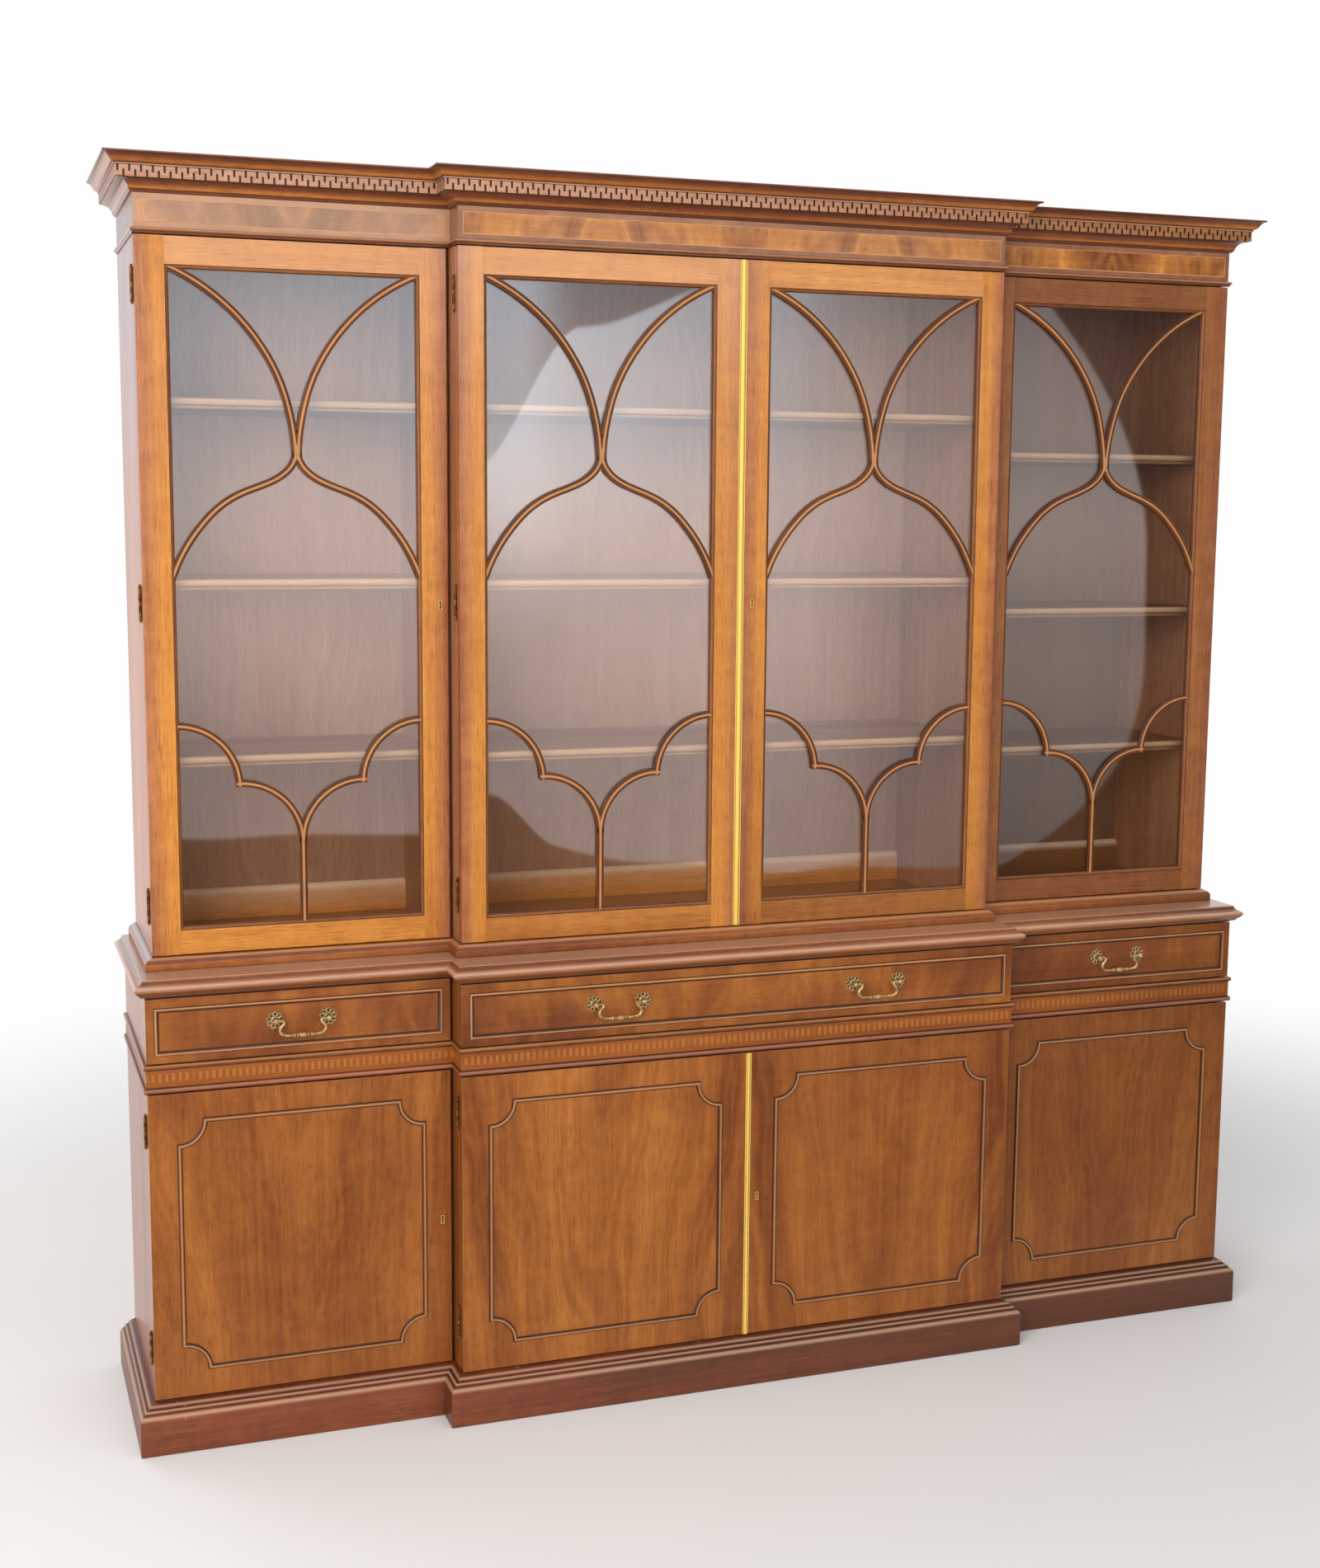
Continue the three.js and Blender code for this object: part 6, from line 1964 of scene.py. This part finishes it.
bg = nt.nodes["Background"]
bg.inputs[0].default_value = (1.0, 1.0, 1.0, 1.0)
bg.inputs[1].default_value = 0.6
b2 = wn("ShaderNodeBackground")
b2.inputs[0].default_value = (1.0, 1.0, 1.0, 1.0)
b2.inputs[1].default_value = 1.0
b3 = wn("ShaderNodeBackground")
b3.inputs[0].default_value = (1.0, 0.97, 0.97, 1.0)
sep = wn("ShaderNodeSeparateXYZ")
nt.links.new(wn("ShaderNodeTexCoord").outputs["Generated"], sep.inputs[0])
dx, dy, dz = sep.outputs
lift = wmath("MAXIMUM", wmath("ADD", dz, -0.1), 0.0)
edge = wmath("MULTIPLY_ADD", lift, -0.9, dx)
wob = wn("ShaderNodeTexNoise", noise_dimensions="1D")
wput(wob.inputs["W"], wmath("MULTIPLY", dx, 9.0))
wob.inputs["Scale"].default_value = 1.0
wob.inputs["Detail"].default_value = 1.0
# the sill: level on the left, lower and uneven in the middle
sill = wmath("ADD", wstep(dx, 0.25, 0.33, -0.161, -0.175), wmath("MULTIPLY", wstep(dx, 0.285, 0.255, 0.0, 0.02), wstep(dx, 0.238, 0.24)))
sill = wmath("MULTIPLY_ADD", wmath("ADD", wob.outputs[0], -0.5), wstep(dx, 0.3, 0.4, 0.006, 0.026), sill)
low = wmath("SUBTRACT", dz, sill)
# the right side is rounded
over = wmath("MAXIMUM", wmath("ADD", dz, 0.02), 0.0)
under = wmath("MAXIMUM", wmath("SUBTRACT", -0.05, dz), 0.0)
curve = wmath("MULTIPLY_ADD", wmath("MULTIPLY", over, over), 3.2, dx)
curve = wmath("MULTIPLY_ADD", wmath("POWER", under, 3.0), 34.0, curve)
pane = wmath("MULTIPLY", wstep(low, -0.0014, 0.0014), wstep(curve, 0.5505, 0.5480))
window = wmath("MULTIPLY", pane, wstep(low, 0.0, 0.155, 0.46, 1.0))
window = wmath("MULTIPLY", window, wstep(edge, 0.50, 0.36, 0.5, 1.0))
window = wmath("MULTIPLY", window, wstep(edge, 0.02, 0.28, 0.68, 1.0))
window = wmath("MULTIPLY", window, wstep(dz, -0.02, 0.12, 1.0, wstep(dx, 0.37, 0.43, 0.8, 0.62)))
# the head of the middle window falls away on its left
head = wmath("ADD", wstep(dx, 0.25, 0.30, 0.02, 0.088), wmath("ADD", wstep(dx, 0.30, 0.37, 0.0, 0.022), wstep(dx, 0.362, 0.38, 0.0, 0.2)))
head = wmath("ADD", head, wstep(dx, 0.24, 0.238))
under_head = wstep(wmath("SUBTRACT", head, dz), -0.0014, 0.0014)
bright = wmath("MULTIPLY", wmath("MULTIPLY", wstep(dx, 0.24, 0.25), wstep(dx, 0.37, 0.29)), wstep(dz, -0.07, 0.04))
window = wmath("MULTIPLY", window, wmath("MULTIPLY_ADD", bright, wstep(dx, 0.30, 0.27, 0.42, 0.8), 1.0))
window = wmath("MULTIPLY", window, wmath("SUBTRACT", 1.0, wmath("MULTIPLY", wstep(dx, 0.40, 0.45, 0.0, 0.2), wstep(dz, 0.0, -0.06))))
window = wmath("MULTIPLY", window, wmath("ADD", under_head, wmath("MULTIPLY", wmath("SUBTRACT", 1.0, under_head), wstep(dx, 0.27, 0.30, 0.62, 0.3))))
ground = wmath("MULTIPLY", wmath("SUBTRACT", 1.0, pane), wstep(dz, -0.03, -0.12))
ceiling = wmath("MULTIPLY", wstep(dz, 0.14, 0.5), 0.55)
lit = wmath("MULTIPLY", ground, wstep(dx, 0.2, 0.4, 0.14, 0.3))
lit = wmath("MULTIPLY", lit, wstep(dx, 0.47, 0.49, 1.0, 0.35))
front_l = wmath("ADD", lit, wmath("MULTIPLY_ADD", window, 1.92, wmath("ADD", ceiling, 0.07)))
sky = wn("ShaderNodeMix", data_type="RGBA", clamp_factor=True)
wput(sky.inputs[0], wmath("MULTIPLY", wstep(dz, -0.06, 0.10), wstep(dx, 0.37, 0.45, 1.0, 0.35)))
wput(sky.inputs[6], (1.0, 0.85, 0.80, 1.0))
wput(sky.inputs[7], (0.86, 0.97, 1.08, 1.0))
tint = wn("ShaderNodeMix", data_type="RGBA", clamp_factor=True)
wput(tint.inputs[0], wmath("MULTIPLY", ground, wstep(dy, 0.25, -0.25)))
wput(tint.inputs[6], sky.outputs[2])
wput(tint.inputs[7], (1.0, 0.45, 0.2, 1.0))
nt.links.new(tint.outputs[2], b3.inputs[0])
nt.links.new(wmath("ADD", wmath("MULTIPLY", wstep(dy, 0.25, -0.25), wmath("ADD", front_l, -1.2)), 1.2), b3.inputs[1])
lp = wn("ShaderNodeLightPath")
m1 = wn("ShaderNodeMixShader")
nt.links.new(lp.outputs["Is Glossy Ray"], m1.inputs[0])
nt.links.new(bg.outputs[0], m1.inputs[1])
nt.links.new(b3.outputs[0], m1.inputs[2])
mx = wn("ShaderNodeMixShader")
nt.links.new(lp.outputs["Is Camera Ray"], mx.inputs[0])
nt.links.new(m1.outputs[0], mx.inputs[1])
nt.links.new(b2.outputs[0], mx.inputs[2])
nt.links.new(mx.outputs[0], nt.nodes["World Output"].inputs[0])
bpy.context.scene.world = wt

cam = bpy.data.cameras.new("camera")
cam.sensor_fit = "AUTO"
cam.sensor_width = 36.0
cam.lens = 2422.7 / 1901.0 * 36.0
cam.shift_x = -(774.12 - 800.0) / 1901.0
cam.shift_y = (947.52 - 950.5) / 1901.0
cam.clip_start, cam.clip_end = 0.05, 60.0
co = bpy.data.objects.new("camera", cam)
yaw, pitch, roll = math.radians(19.20), math.radians(7.75), math.radians(0.36)
F = Vector((math.sin(yaw) * math.cos(pitch), math.cos(yaw) * math.cos(pitch), -math.sin(pitch)))
R = Vector((math.cos(yaw), -math.sin(yaw), 0.0))
U = R.cross(F)
R2 = math.cos(roll) * R + math.sin(roll) * U
U2 = -math.sin(roll) * R + math.cos(roll) * U
co.matrix_world = Matrix(
    (
        (R2.x, U2.x, -F.x, -1.2535),
        (R2.y, U2.y, -F.y, -3.2150),
        (R2.z, U2.z, -F.z, 1.4817),
        (0, 0, 0, 1),
    )
)
bpy.context.scene.collection.objects.link(co)
bpy.context.scene.camera = co

bpy.context.scene.view_settings.view_transform = "Standard"
bpy.context.scene.view_settings.look = "None"

bpy.context.view_layer.update()
lo, hi = CAD_BOX
